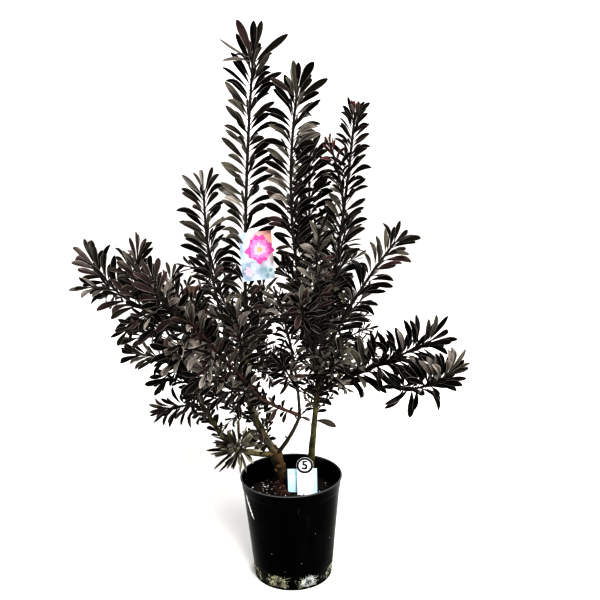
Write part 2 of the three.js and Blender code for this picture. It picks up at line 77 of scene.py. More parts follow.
# The number after each bough's bark, 0.9 where none is given, is painted shade: how dark its bark is painted
# on the side away from the light. Above 1 it darkens most of the limb.
BOUGHS = {
    "trunk": bough(
        None, 0, (-30, 0, 255), STRAIGHT, (23, 19), "brown", 1.7, foot=(-15, 25, 177), flare=7, burl=4,
        knots=(16, 0.42, 1.06, 13)),
    "left_bough": bough(
        "trunk", 1, (-80, 15, 450), (-20, 0, -5), (16, 9), "green", 1.2, knots=(11, 0.0, 0.5, 9)),
    "middle_bough": bough("trunk", 0.9, (20, -40, 345), (5, 0, 0), (8, 6.5), "green", 1.7),
    "red_bough_lower": bough("middle_bough", 1, (-50, -95, 400), (-5, 0, 0), (6.5, 6), "red", 1.3),
    "red_bough_upper": bough("red_bough_lower", 1, (-158, -202, 576), STRAIGHT, (6, 5), "red", 2.2),
    "low_bough": bough("trunk", 0.95, (-140, -50, 335), (-15, -10, -15), (11, 8), "green", 1.8),
    "low_bough_upper": bough("low_bough", 1, (-186, -58, 450), (-5, -3, 0), (8, 6), "green", 1.9),
    "right_bough": bough(
        None, 0, (60, 15, 430), STRAIGHT, (12, 9), "green", 0.6, foot=(35, 44, 167), flare=3,
        knots=(6, 0.15, 0.6, 6)),
    "right_side_bough": bough("right_bough", 0.75, (97, 0, 398), STRAIGHT, (7, 6.5), "red"),
    "back_left_bough": bough("left_bough", 0.75, (-85, 110, 425), (0, 0, -5), (7, 6), "green"),
    "back_right_bough": bough("right_bough", 0.9, (45, 120, 425), (5, 0, 5), (7, 6), "green"),
}

# How the leaves of a stem stand, where its row doesn't say otherwise. They lie between the shares first
# and last of its length, or on the last rosette millimetres of it. breadth and open multiply the leaves'
# width and their angle to the stem, spacing the length of stem between two, and crowding draws them to the
# tip. Over the last closing millimetres they close up. curl bends them, and lift turns them upwards. The
# last red_tip leaves are new, and the orange_tip innermost of those are newest. sprays is how many short
# twigs the stem has, or that with the shares between which they stand and their size.
STEM = dict(
    first=0.12, last=1.0, rosette=0, breadth=1.0, open=1.0, spacing=1.0, crowding=1.2, closing=0, curl=0.0,
    lift=0.0, red_tip=0, orange_tip=0, sprays=0, sides=(),
)
# Tones for the left and the right of a stem: paler tints on the left are painted light, near-black ones on
# the right painted shade
ASHEN = ("ashen", "black")


# Where a shoot's tone names a left and a right, the paler left is painted light and the darker right painted
# shade
def shoot(grows, at, tip, bow, thick, leaf, tone, first=0.1, **more):
    """A foliage mass, in millimetres: its main stem like a bough, and the length of its full-grown leaves,
    or that at its foot and at its tip. tone is the mix of tints, or that on its left and on its right."""
    return dict(grows=grows, at=at, tip=tip, bow=bow, thick=thick, leaf=leaf, tone=tone, first=first, **more)


SHOOTS = {
    "tall_shoot": shoot("left_bough", 1, (-46, -15, 1003), (-7, 0, 5), 7, (64, 66), ASHEN, last=0.96),
    "left_upright_shoot": shoot(
        "left_bough", 0.68, (-145, 0, 765), (-20, 10, -5), 7, 60, ASHEN, 0.15, sprays=(3, 0.05, 0.4, 1.0),
        closing=30),
    "inner_left_shoot": shoot(
        "left_bough", 0.9, (-50, 60, 535), (0, 5, -5), 6, 38, "dark", sprays=3, spacing=0.8),
    "far_left_shoot": shoot(
        "red_bough_upper", 1, (-314, -165, 666), (-10, -5, -20), 5.5, 56, "dark", 0.02, sprays=5,
        spacing=0.75, breadth=1.1, sides=[dict(
            at=0.36, tip=(-230, -210, 685), bow=(-10, 0, 0), leaf=46, tone="plum", spacing=0.5, closing=70)]),
    "near_left_shoot": shoot(
        "red_bough_upper", 0.97, (-205, -232, 648), (-8, -5, -6), 5, 50, "plum", 0.05, sprays=4, spacing=0.8,
        breadth=1.15),
    "arm_low_shoot": shoot(
        "red_bough_upper", 0.08, (-120, -150, 426), (0, 0, 6), 5, 40, "plum", sprays=3, breadth=1.2,
        spacing=0.8),
    "arm_under_shoot": shoot(
        "red_bough_upper", 0.3, (-150, -150, 459), (0, 0, 8), 5, 48, "grey", sprays=3, breadth=1.3),
    "arm_upper_shoot": shoot(
        "red_bough_upper", 0.3, (-86, -120, 557), (4, 4, 0), 5, 46, "dark", 0.15, sprays=3, breadth=1.2),
    "arm_middle_shoot": shoot(
        "red_bough_upper", 0.5, (-178, -215, 529), (0, 0, 8), 5, 50, "grey", sprays=3, breadth=1.3),
    "arm_outer_shoot": shoot(
        "red_bough_upper", 0.76, (-216, -225, 573), (0, 0, 6), 5, 52, "grey", sprays=3, breadth=1.3),
    "dark_left_shoot": shoot(
        "red_bough_upper", 0.86, (-184, -140, 610), (-5, 5, -5), 5, 46, "dark", sprays=4, breadth=1.1),
    "orange_left_shoot": shoot(
        "red_bough_upper", 0.68, (-157, -170, 612), (-5, -10, 0), 5, 42, "plum", 0.15, sprays=3, red_tip=5,
        orange_tip=3),
    "low_left_shoot": shoot(
        "low_bough_upper", 1, (-203, -52, 510), STRAIGHT, 5.5, 54, "dark", rosette=60, sprays=2),
    "low_side_shoot": shoot(
        "low_bough_upper", 0.93, (-270, -90, 486), (10, -10, 10), 5, 42, "black", spacing=0.65,
        sides=[dict(at=0.12, tip=(-226, -90, 434), bow=(-8, 0, 0), leaf=40, spacing=0.7, breadth=1.25)]),
    "low_twig_shoot": shoot(
        "low_bough_upper", 0.2, (-220, -85, 380), (5, 0, 10), 5, 42, ASHEN, rosette=60, spacing=0.48,
        breadth=0.9),
    "low_rosette": shoot(
        "low_bough", 0.4, (-100, -90, 305), STRAIGHT, 5, 60, ("olive", "pale"), rosette=46, spacing=0.11,
        breadth=0.5, curl=0.42),
    "left_low_shoot": shoot(
        "left_bough", 0.36, (-113, -50, 374), (0, 0, -4), 5, 34, "olive", rosette=60, sprays=2),
    "left_side_shoot": shoot(
        "left_bough", 0.52, (-141, -10, 424), (0, 0, -4), 5, 40, "dark", rosette=65, sprays=2),
    "left_front_shoot": shoot(
        "left_bough", 0.62, (-80, -70, 425), (0, -4, -4), 5, 36, "olive", rosette=55, sprays=3),
    "centre_tall_shoot": shoot(
        "right_bough", 1, (30, -25, 946), (-30, -5, 0), 7, (62, 66), ASHEN, 0.12, last=0.96,
        sprays=(6, 0.02, 0.42, 1.0), spacing=0.85),
    "right_tall_shoot": shoot(
        "right_bough", 0.97, (135, 65, 898), (5, 10, -5), 7, (78, 42), ("dark", "black"), 0.15, red_tip=12,
        spacing=0.85, crowding=1.9, open=0.92, sides=[dict(
            at=0.63, tip=(85, 10, 845), bow=(5, 0, -3), leaf=(40, 46), red_tip=11, orange_tip=3)]),
    "right_middle_shoot": shoot(
        "right_bough", 0.95, (208, 40, 658), (-12, 0, 0), 7, 60, ASHEN, 0.12, spacing=0.95, closing=26,
        breadth=1.1),
    "front_upright_shoot": shoot(
        "right_bough", 0.87, (60, -125, 698), (-8, -20, -5), 6.5, 44, ("grey", "dark"), 0.2, sprays=2),
    "front_rosette": shoot(
        "right_bough", 0.84, (25, -190, 595), (0, 0, 5), 6, 44, "plum", rosette=80, spacing=0.7, breadth=1.3),
    "inner_right_shoot": shoot(
        "right_bough", 0.99, (98, -40, 630), (-8, -5, 0), 6, 42, "dark", 0.15, sprays=2),
    "right_end_shoot": shoot(
        "right_side_bough", 1, (252, -95, 499), (-5, -14, 0), 6.5, 66, ASHEN, 0.04, spacing=0.6, open=1.2,
        closing=20, lift=0.15, sides=[dict(
            at=0.46, tip=(272, -178, 465), bow=(-8, -10, -30), leaf=58, rosette=110, spacing=0.42,
            tone=("grey", "dark"), lift=0.55)]),
    "right_front_shoot": shoot(
        "right_bough", 0.85, (95, -80, 479), (0, -5, -5), 5.5, 38, "olive", 0.05, sprays=4, spacing=0.7),
    "right_inner_shoot": shoot("right_bough", 0.93, (162, 90, 476), (-10, 0, 12), 4, 28, "dark", 0.2),
    "middle_shoot": shoot(
        "middle_bough", 0.98, (-22, -55, 598), (10, -10, 0), 6, 38, "dark", 0.2, sprays=3, spacing=0.8,
        sides=[dict(
            at=0.2, tip=(-8, -130, 470), bow=(0, -5, 5), leaf=40, rosette=70, tone="plum", spacing=0.5,
            breadth=1.05)]),
    "back_left_shoot": shoot(
        "back_left_bough", 1, (-165, 200, 640), (-10, 20, -10), 6, 54, "dark", sprays=5, spacing=0.85),
    "back_middle_shoot": shoot(
        "back_left_bough", 0.95, (-55, 245, 535), (5, 5, -10), 5.5, 54, "plum", sprays=5, spacing=0.85),
    "back_low_left_shoot": shoot(
        "back_left_bough", 0.75, (-195, 200, 450), (5, 5, 5), 5.5, 54, "dark", sprays=3),
    "back_low_shoot": shoot(
        "back_left_bough", 0.5, (-20, 230, 390), (0, 0, -10), 5.5, 48, "grey", 0.3, sprays=3),
    "back_tall_shoot": shoot(
        "back_right_bough", 0.95, (50, 120, 820), (-2, 14, -10), 7, 60, "dark", sprays=(6, 0.2, 0.85, 0.9),
        spacing=0.8),
    "back_centre_shoot": shoot(
        "back_right_bough", 1, (20, 250, 535), (0, 5, -10), 5.5, 54, "grey", sprays=5, spacing=0.85),
    "back_right_shoot": shoot(
        "back_right_bough", 0.75, (125, 185, 672), (0, 15, -5), 6.5, 54, "dark", sprays=5, spacing=0.85),
    "back_far_right_shoot": shoot(
        "back_right_bough", 0.6, (160, 200, 515), (-5, 10, -5), 5.5, 48, "plum", 0.2, sprays=4),
    "back_low_right_shoot": shoot(
        "back_right_bough", 0.3, (180, 205, 400), (-10, 5, -15), 5.5, 54, "grey", 0.2, sprays=3),
}

# Leaves that grow on the boughs themselves
BOUGH_LEAVES = {
    "left_bough": dict(
        first=0.35, leaf=(26, 50), tone="olive", breadth=1.15, spacing=1.5, sprays=(6, 0.1, 0.42, 0.6)),
    "middle_bough": dict(first=0.86, leaf=(18, 24), tone="black", breadth=1.3, spacing=0.7),
    "red_bough_lower": dict(first=0.22, leaf=(20, 38), tone="dark", breadth=1.3),
    "red_bough_upper": dict(first=0, leaf=(32, 50), tone="grey", breadth=1.3, spacing=0.65),
    "low_bough": dict(first=0.4, leaf=(24, 30), tone="olive", breadth=1.5),
    "low_bough_upper": dict(
        first=0, leaf=(28, 42), tone="black", breadth=1.3, spacing=0.5, sprays=(2, 0.4, 0.9, 0.8)),
    "right_bough": dict(
        first=0.64, leaf=(22, 32), tone="olive", breadth=1.3, spacing=0.5, sprays=(19, 0.6, 0.99, 0.62)),
    "right_side_bough": dict(
        first=0.1, leaf=(24, 48), tone=("olive", "black"), breadth=1.2, spacing=0.6, open=1.1),
    "back_left_bough": dict(first=0.3, leaf=(34, 52), tone="dark", sprays=4),
    "back_right_bough": dict(first=0.3, leaf=(34, 52), tone="dark", sprays=4),
}

# Single leaves: on which limb and how far along, which way they point, their length in millimetres and
# tint, and where stated their width as a share of the length and how far their tip rises
STRAYS = (
    ("tall_shoot", 0.975, (-0.36, -0.2, 1), 74, "plum", 0.2),
    ("tall_shoot", 0.99, (0.06, -0.2, 1), 58, "near_black", 0.23),
    ("tall_shoot", 0.99, (0.27, 0.2, 1), 62, "near_black", 0.19),
    ("tall_shoot", 0.965, (1, -0.3, 0.72), 78, "near_black", 0.17),
    ("tall_shoot", 0.98, (-1, -0.1, 0.25), 62, "mauve_grey", 0.09, 0.35),
    ("tall_shoot", 0.97, (-1, -0.1, 0.3), 54, "mauve_grey", 0.13, -0.2),
    ("centre_tall_shoot", 0.98, (0.5, -0.2, 0.9), 64, "near_black", 0.24),
    ("centre_tall_shoot", 0.99, (0.05, -0.2, 1), 46, "near_black", 0.22),
    ("centre_tall_shoot", 0.95, (0.9, -0.3, 0.55), 66, "near_black", 0.2),
    ("centre_tall_shoot", 0.96, (-0.7, -0.3, 0.55), 58, "plum", 0.19),
    ("centre_tall_shoot", 0.48, (-1, -0.3, 0.35), 37, "near_black", 0.2),
    ("centre_tall_shoot", 0.45, (-1, -0.3, 0.05), 36, "plum", 0.2),
    ("centre_tall_shoot", 0.42, (-1, -0.3, 0.25), 38, "near_black", 0.22),
    ("centre_tall_shoot", 0.39, (-1, -0.4, -0.1), 38, "olive", 0.2),
    ("left_bough", 0.02, (0.2, -0.5, 1), 17, "olive"),
    ("left_bough", 0.04, (0.7, -0.6, 0.9), 14, "near_black"),
    ("left_bough", 0.13, (0.7, -0.7, 0.6), 26, "near_black"),
    ("left_bough", 0.16, (-0.7, -0.8, -0.5), 36, "plum"),
    ("left_bough", 0.2, (0.5, -0.8, -0.4), 32, "olive"),
    ("left_bough", 0.24, (-0.9, -0.7, 0.1), 36, "olive"),
    ("left_bough", 0.06, (-0.9, -0.6, 0.3), 34, "olive"),
    ("left_bough", 0.1, (-0.5, -0.9, -0.2), 34, "near_black"),
    ("left_bough", 0.14, (-0.8, -0.7, 0.6), 40, "olive"),
    ("left_bough", 0.18, (-1, -0.5, -0.2), 42, "plum"),
    ("left_bough", 0.28, (0.2, -0.9, -0.7), 34, "plum"),
    ("middle_bough", 0.1, (-0.5, -0.5, 0.9), 15, "near_black"),
    ("right_bough", 0.535, (1, -0.25, -0.14), 44, "olive"),
    ("right_bough", 0.60, (1, -0.3, 0.25), 24, "near_black"),
    ("right_bough", 0.63, (-1, -0.4, 0.1), 22, "near_black"),
    ("right_bough", 0.67, (1, -0.5, 0.5), 32, "near_black"),
    ("right_bough", 0.69, (-0.9, -0.5, -0.3), 26, "olive"),
    ("right_bough", 0.73, (1, -0.4, -0.5), 34, "near_black"),
    ("right_bough", 0.76, (-1, -0.3, 0.4), 30, "olive"),
    ("middle_bough", 0.42, (-0.6, -0.3, 0.8), 11, "olive"),
    ("middle_bough", 0.97, (1, -0.3, -0.3), 22, "olive"),
    ("red_bough_lower", 0.3, (-0.4, -0.3, -1), 24, "near_black"),
    ("red_bough_lower", 0.42, (0.1, -0.3, 1), 20, "near_black"),
    ("red_bough_lower", 0.52, (-0.6, -0.3, -1), 30, "plum"),
)

# Angles between leaf and stem in degrees, where the leaves begin to close and at the tip, how far single
# leaves differ from them, and the length of stem in millimetres over which they close
UPRIGHT = dict(foot=57, tip=20, closing=42, jitter=10)
ROSETTE = dict(foot=90, tip=18, closing=48, jitter=17)

# Outline of a leaf from its stalk to its blunt tip: (place along the leaf, share of the half width)
LEAF_OUTLINE = (
    (0.00, 0.12), (0.09, 0.19), (0.24, 0.45), (0.42, 0.79), (0.60, 1.00),
    (0.75, 0.97), (0.88, 0.72), (0.96, 0.40), (1.00, 0.10),
)

# Leaf tints with their gloss, and the shares in which a stem of each tone deals the full-grown ones out
# mauve_grey is painted light, a lit copy of the burgundy leaves. olive is partly painted light, for the lit
# leaves of the tall shoots.
TINTS = dict(
    near_black=0.12, plum=0.25, mauve_grey=0.3, olive=0.3, pale_olive=0.35, young_red=0.3, young_orange=0.3)
FULL_GROWN = ("near_black", "plum", "mauve_grey", "olive", "pale_olive")
TONES = {
    "ashen": (0.48, 0.08, 0.12, 0.32, 0.00),
    "black": (0.84, 0.06, 0.04, 0.06, 0.00),
    "dark": (0.68, 0.11, 0.11, 0.10, 0.00),
    "plum": (0.50, 0.22, 0.20, 0.08, 0.00),
    "grey": (0.34, 0.12, 0.38, 0.16, 0.00),
    "olive": (0.46, 0.06, 0.12, 0.34, 0.02),
    "pale": (0.14, 0.02, 0.08, 0.22, 0.54),
}


# Settings


def a_length(name, about, value):
    return FloatProperty(name=name, description=about, default=value, unit="LENGTH")


def a_number(name, about, value):
    return FloatProperty(name=name, description=about, default=value)


def an_angle(name, about, degrees):
    return FloatProperty(name=name, description=about, default=math.radians(degrees), subtype="ANGLE")


def a_count(name, about, value):
    return IntProperty(name=name, description=about, default=value)


def a_color(name, about, *value):
    return FloatVectorProperty(name=name, description=about, default=value, subtype="COLOR")


class LeafSettings(bpy.types.PropertyGroup):
    """Sizes and tints of the leaves"""

    spacing: a_length("Spacing", "Length of stem between two leaves", 0.0047)
    length: a_number("Length", "Length of the leaves against the sizes that each stem states", 0.92)
    width: a_number("Width", "Widest place of a leaf, as a share of its length", 0.20)
    flatness: a_number("Flatness", "Depth of the shoots against their width, as grown along a wall", 0.62)
    thickness: a_length("Thickness", "Thickness of a leaf along its midrib", 0.0009)
    fold: an_angle("Fold", "How far each half of the blade rises from the midrib", 26)
    near_black: a_color("Near black", "Darkest burgundy of full-grown leaves", 0.0014, 0.0009, 0.0009)
    plum: a_color("Plum", "Burgundy of full-grown leaves", 0.027, 0.0155, 0.0155)
    # Painted light: mauve_grey is a lit copy of the burgundy, and olive is one in part
    mauve_grey: a_color("Mauve grey", "Greyed burgundy of lit leaves", 0.118, 0.105, 0.094)
    olive: a_color("Olive", "Old leaves, and lit ones on the tall shoots", 0.055, 0.050, 0.040)
    pale_olive: a_color("Pale olive", "Silvery leaves of the low rosette", 0.20, 0.185, 0.140)
    young_red: a_color("Young red", "New leaves at some tips", 0.050, 0.013, 0.013)
    young_orange: a_color("Young orange", "Newest leaves at some tips", 0.095, 0.036, 0.020)


class StemSettings(bpy.types.PropertyGroup):
    """Colours of the bark and the depth of its relief"""

    relief: a_length("Relief", "Depth of the bark's ridges", 0.0006)
    scar: a_length("Leaf scar", "Height of the scar that a fallen leaf leaves", 0.0007)
    brown: a_color("Brown bark", "Bark of the trunk", 0.105, 0.064, 0.028)
    green: a_color("Green bark", "Bark of the older boughs", 0.098, 0.090, 0.036)
    red: a_color("Red bark", "Bark of young boughs and twigs", 0.074, 0.033, 0.027)


class PotSettings(bpy.types.PropertyGroup):
    """Sizes and colours of the pot and the potting mix"""

    rim_radius: a_length("Rim radius", "Outer radius of the pot's rim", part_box("pot")[1].x)
    height: a_length("Height", "Height of the pot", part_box("pot")[1].z)
    base_radius: a_length("Base radius", "Outer radius at the foot of the wall", 0.077)
    wall: a_length("Wall", "Thickness of the wall", 0.0018)
    segments: a_count("Segments", "Faces round the pot", 144)
    plastic: a_color("Plastic", "Black plastic of the pot", 0.0012, 0.0012, 0.0013)
    mix: a_color("Potting mix", "Damp composted bark", 0.007, 0.0045, 0.0035)
    roots: a_count("Roots", "Fine roots in the fullest drain hole; the others have half", 120)
    crust: a_count("Crust", "Flakes of mineral crust round a drain hole", 130)
    chips: a_count("Bark chips", "Chips of bark on the mix", 620)
    perlite: a_count("Perlite", "White grains on the mix", 170)
    shed_bark: a_count("Shed bark", "Red-brown flakes round the trunk's foot", 150)


class LabelSettings(bpy.types.PropertyGroup):
    """Colours of the labels, and the ring's number"""

    white: a_color("White", "Plastic of the ring label", 0.92, 0.93, 0.94)
    blue: a_color("Blue", "Plastic of the label behind it", 0.55, 0.78, 0.90)
    number: a_count("Number", "Plain number inside the ring", 5)


class StageSettings(bpy.types.PropertyGroup):
    """Floor, lights and camera"""

    floor: a_color("Floor", "Pale floor", 0.80, 0.79, 0.77)
    backdrop: a_number("Backdrop", "Brightness behind the plant", 1.0)
    ambient: a_number("Ambient", "Light from all round", 0.27)
    sun: a_number("Sun", "Strength of the soft main light", 3.5)
    lens: a_number("Lens", "Focal length in millimetres", 49.44)
    pitch: an_angle("Pitch", "How far the camera looks down", 13.0)
    roll: an_angle("Roll", "Turn of the camera about its own view", 1.28)


# Lines that limbs follow


class Limb:
    """The line of a limb: one bend, through the bowed middle. Metres."""

    SAMPLES = 120

    def __init__(self, foot, tip, bow):
        foot, tip, bow = Vector(foot), Vector(tip), Vector(bow)
        self.knots = (foot, (foot + tip) / 2 + 2 * bow, tip)
        self.shares = np.linspace(0, 1, self.SAMPLES + 1)
        self.points = np.array([self.point(t) for t in self.shares])
        steps = np.linalg.norm(np.diff(self.points, axis=0), axis=1)
        self.reach = np.concatenate([[0.0], np.cumsum(steps)])
        self.length = float(self.reach[-1])
        bend = (self.knots[1] - foot).cross(tip - self.knots[1])
        if bend.length < 1e-9:
            bend = (tip - foot).orthogonal()
        self.bend = bend.normalized()

    def point(self, t):
        foot, middle, tip = self.knots
        return foot * (1 - t) ** 2 + middle * (2 * t * (1 - t)) + tip * t**2

    def frame(self, share):
        """Point and direction at a share of the limb's length, and the two directions square to it."""
        t = float(np.interp(share * self.length, self.reach, self.shares))
        foot, middle, tip = self.knots
        direction = ((middle - foot) * (1 - t) + (tip - middle) * t).normalized()
        return self.point(t), direction, self.bend.cross(direction).normalized(), self.bend


def in_metres(values):
    return Vector(values) * MM


def all_limbs():
    """The lines of all boughs and shoots, by name."""
    limbs = {}
    for name, row in (BOUGHS | SHOOTS).items():
        foot = in_metres(row["foot"]) if "foot" in row else limbs[row["grows"]].point(row["at"])
        limbs[name] = Limb(foot, in_metres(row["tip"]), in_metres(row["bow"]))
    return limbs


def round_stem(side, other, angle):
    """The direction off a stem at an angle round it."""
    return side * math.cos(angle) + other * math.sin(angle)


def smooth_step(x):
    x = np.clip(x, 0, 1)
    return x * x * (3 - 2 * x)


# Meshes and objects


def deselect_all():
    if bpy.context.object and bpy.context.object.mode != "OBJECT":
        bpy.ops.object.mode_set(mode="OBJECT")
    bpy.ops.object.select_all(action="DESELECT")


def make_active(obj):
    deselect_all()
    obj.select_set(True)
    bpy.context.view_layer.objects.active = obj


def added(operator, **values):
    """The object that an operator adds."""
    deselect_all()
    operator(**values)
    return bpy.context.object


@contextmanager
def editing(obj, action="SELECT"):
    """Edit mode, with everything selected or as the action says."""
    make_active(obj)
    bpy.ops.object.mode_set(mode="EDIT")
    if action:
        bpy.ops.mesh.select_all(action=action)
    yield
    bpy.ops.object.mode_set(mode="OBJECT")


def set_place(obj, scale=(1, 1, 1), location=None):
    """Stretches and moves the object, and puts that into its mesh."""
    obj.scale = scale
    if location:
        obj.location = location
    make_active(obj)
    bpy.ops.object.transform_apply(location=True, rotation=True, scale=True)


def apply_modifier(obj, kind, **values):
    make_active(obj)
    modifier = obj.modifiers.new(kind.title(), kind)
    for name, value in values.items():
        setattr(modifier, name, value)
    bpy.ops.object.modifier_apply(modifier=modifier.name)


def round_edges(obj, width=0.0002):
    apply_modifier(obj, "BEVEL", width=width, segments=2, limit_method="ANGLE")


def turn_faces_out(obj):
    with editing(obj):
        bpy.ops.mesh.remove_doubles(threshold=1e-6)
        bpy.ops.mesh.normals_make_consistent(inside=False)


def join_pieces(objects):
    deselect_all()
    for obj in objects:
        obj.select_set(True)
    bpy.context.view_layer.objects.active = objects[0]
    if len(objects) > 1:
        bpy.ops.object.join()
    return bpy.context.object


def object_from_arrays(vertices, faces):
    mesh = bpy.data.meshes.new("made")
    mesh.from_pydata(np.asarray(vertices).tolist(), [], faces)
    obj = bpy.data.objects.new("made", mesh)
    bpy.context.scene.collection.objects.link(obj)
    return obj


def coordinates(obj):
    found = np.zeros(len(obj.data.vertices) * 3, np.float32)
    obj.data.vertices.foreach_get("co", found)
    return found.reshape(-1, 3).astype(float)


def set_coordinates(obj, values):
    obj.data.vertices.foreach_set("co", np.asarray(values, np.float32).ravel())
    obj.data.update()


def point_attribute(obj, name, values):
    attribute = obj.data.attributes.new(name, "FLOAT", "POINT")
    attribute.data.foreach_set("value", np.asarray(values, np.float32))


def finish_piece(obj, name, material, slot, *nodes, smooth=None):
    """Names the piece, smooths the edges below an angle, gives it its look and ties it to the frame."""
    if smooth:
        make_active(obj)
        bpy.ops.object.shade_smooth_by_angle(angle=math.radians(smooth))
    obj.name = name
    obj.data.name = name
    obj.data.materials.clear()
    obj.data.materials.append(material)
    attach(obj, "root")
    if nodes:
        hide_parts(*nodes)


def lathe(profile, segments):
    """A round piece: a ring drawn out along a profile of (radius, height) points, and closed at both ends."""
    (radius, height), *rest = profile
    obj = added(bpy.ops.mesh.primitive_circle_add, vertices=segments, radius=radius, location=(0, 0, height))
    set_place(obj)
    with editing(obj):
        bpy.ops.mesh.edge_face_add()
        bpy.ops.mesh.select_all(action="SELECT")
        for next_radius, next_height in rest:
            rise = (0, 0, next_height - height)
            bpy.ops.mesh.extrude_region_move(TRANSFORM_OT_translate={"value": rise})
            scale = next_radius / radius
            bpy.ops.transform.resize(value=(scale, scale, 1), center_override=(0, 0, next_height))
            radius, height = next_radius, next_height
    with editing(obj, None):
        bpy.ops.mesh.select_mode(type="EDGE")
        bpy.ops.mesh.select_all(action="DESELECT")
        bpy.ops.mesh.select_non_manifold()
        bpy.ops.mesh.fill_holes(sides=0)
    turn_faces_out(obj)
    return obj


def arched_plate(half_width, head_radius, arch, head_height, foot_height, depth, vertices=64):
    """A plate that stands upright in the plane Y = 0: a round head over a straight body."""
    obj = added(
        bpy.ops.mesh.primitive_circle_add, vertices=vertices, radius=head_radius, fill_type="NGON",
        location=(0, 0, head_height), rotation=UPRIGHT_TURN)
    set_place(obj, (1, arch, 1))
    shoulder = head_height - arch * math.sqrt(max(0.0, head_radius**2 - half_width**2))
    with editing(obj):
        bpy.ops.mesh.bisect(plane_co=(0, 0, shoulder), plane_no=(0, 0, 1), clear_inner=True)
    for edge in obj.data.edges:
        edge.select = all(abs(obj.data.vertices[i].co.z - shoulder) < 1e-6 for i in edge.vertices)
    with editing(obj, None):
        bpy.ops.mesh.select_mode(type="EDGE")
        bpy.ops.mesh.extrude_region_move(TRANSFORM_OT_translate={"value": (0, 0, foot_height - shoulder)})
    apply_modifier(obj, "SOLIDIFY", thickness=depth, offset=0)
    turn_faces_out(obj)
    return obj


def scatter(template, places):
    """Joins copies of a small template mesh, one for each 4 by 4 matrix."""
    points, faces = template
    flat = np.hstack([points, np.ones((len(points), 1))])
    vertices = np.vstack([(flat @ np.array(place).T)[:, :3] for place in places])
    copies = [[i + k * len(points) for i in face] for k in range(len(places)) for face in faces]
    return object_from_arrays(vertices, copies)


def pebble(seed, detail=1):
    """A small uneven lump, a unit across, as points and faces."""
    obj = added(bpy.ops.mesh.primitive_ico_sphere_add, subdivisions=detail, radius=0.5)
    chance = random.Random(seed)
    points = coordinates(obj) * np.array([[chance.uniform(0.75, 1.15)] for _ in obj.data.vertices])
    faces = [list(polygon.vertices) for polygon in obj.data.polygons]
    bpy.data.objects.remove(obj)
    return points, faces


def turn_and_stretch(place, normal, spin, size):
    """A matrix that lays a template down on a surface: stretched, spun and standing on the normal."""
    across = Vector(normal).to_track_quat("Z", "Y").to_matrix().to_4x4()
    stretch = Matrix.Diagonal((*size, 1))
    return Matrix.Translation(place) @ across @ Matrix.Rotation(spin, 4, "Z") @ stretch


def dropped(chance, place, normal, size):
    return turn_and_stretch(place, normal, chance.random() * math.tau, size)


# Materials


def scaled(color, factor, plus=(0, 0, 0)):
    return tuple(channel * factor + more for channel, more in zip(color, plus))


class Look:
    """A material, the paint mixed for it so far, and short ways to add nodes to it."""

    def __init__(self, name, roughness, paint=None, **sockets):
        self.material = bpy.data.materials.new(name)
        self.material.use_nodes = True
        self.tree = self.material.node_tree
        self.shader = self.tree.nodes["Principled BSDF"]
        self.paint = paint
        for socket, value in {"Roughness": roughness, **sockets}.items():
            self.shader.inputs[socket.replace("_", " ")].default_value = value

    def node(self, kind, inputs=None, **settings):
        node = self.tree.nodes.new(kind)
        for name, value in settings.items():
            setattr(node, name, value)
        for socket, value in (inputs or {}).items():
            self.feed(node.inputs[socket], value)
        return node

    def feed(self, socket, value):
        if isinstance(value, bpy.types.NodeSocket):
            self.tree.links.new(value, socket)
        else:
            socket.default_value = value

    def place(self, stretch=None):
        """Object coordinates, stretched by (x, y, z) where that is given."""
        place = self.node("ShaderNodeTexCoord").outputs["Object"]
        if not stretch:
            return place
        return self.node("ShaderNodeMapping", {"Vector": place, "Scale": stretch}).outputs["Vector"]

    def split(self, vector=None):
        """The parts x, y and z of a vector."""
        return self.node("ShaderNodeSeparateXYZ", {"Vector": vector or self.place()}).outputs

    def noise(self, scale, detail, roughness=0.55, place=None, distortion=0.0):
        return self.node("ShaderNodeTexNoise", {
            "Vector": place or self.place(), "Scale": scale, "Detail": detail, "Roughness": roughness,
            "Distortion": distortion}).outputs["Fac"]

    def math(self, operation, a, b=0.0):
        return self.node("ShaderNodeMath", {0: a, 1: b}, operation=operation).outputs[0]

    def times(self, a, b):
        return self.math("MULTIPLY", a, b)

    def between(self, value, low, high, to_low=0.0, to_high=1.0):
        return self.node(
            "ShaderNodeMapRange",
            {"Value": value, "From Min": low, "From Max": high, "To Min": to_low, "To Max": to_high},
            interpolation_type="SMOOTHSTEP").outputs[0]

    def patches(self, scale, detail, low, high, to_low=0.0, to_high=1.0, **noise):
        """Noise from low to high, drawn out between two values."""
        return self.between(self.noise(scale, detail, **noise), low, high, to_low, to_high)

    def blend(self, share, a, b, mode="MIX"):
        """Colour a turning into colour b."""
        a, b = (value if isinstance(value, bpy.types.NodeSocket) else (*value, 1) for value in (a, b))
        return self.node(
            "ShaderNodeMix", {0: share, 6: a, 7: b}, data_type="RGBA", blend_type=mode).outputs[2]

    def over(self, share, color, most=None):
        """Paints a colour over the rest, by a share of the surface that most cuts down."""
        self.paint = self.blend(self.times(share, most) if most else share, self.paint, color)

    def attribute(self, name):
        return self.node("ShaderNodeAttribute", attribute_name=name).outputs["Fac"]

    def finish(self, relief, strength, depth, roughness=None):
        """Feeds the paint, the relief and the roughness to the shader."""
        bump = self.node("ShaderNodeBump", {"Height": relief, "Strength": strength, "Distance": depth})
        self.feed(self.shader.inputs["Base Color"], self.paint)
        self.feed(self.shader.inputs["Normal"], bump.outputs["Normal"])
        if roughness:
            self.feed(self.shader.inputs["Roughness"], roughness)
        return self.material


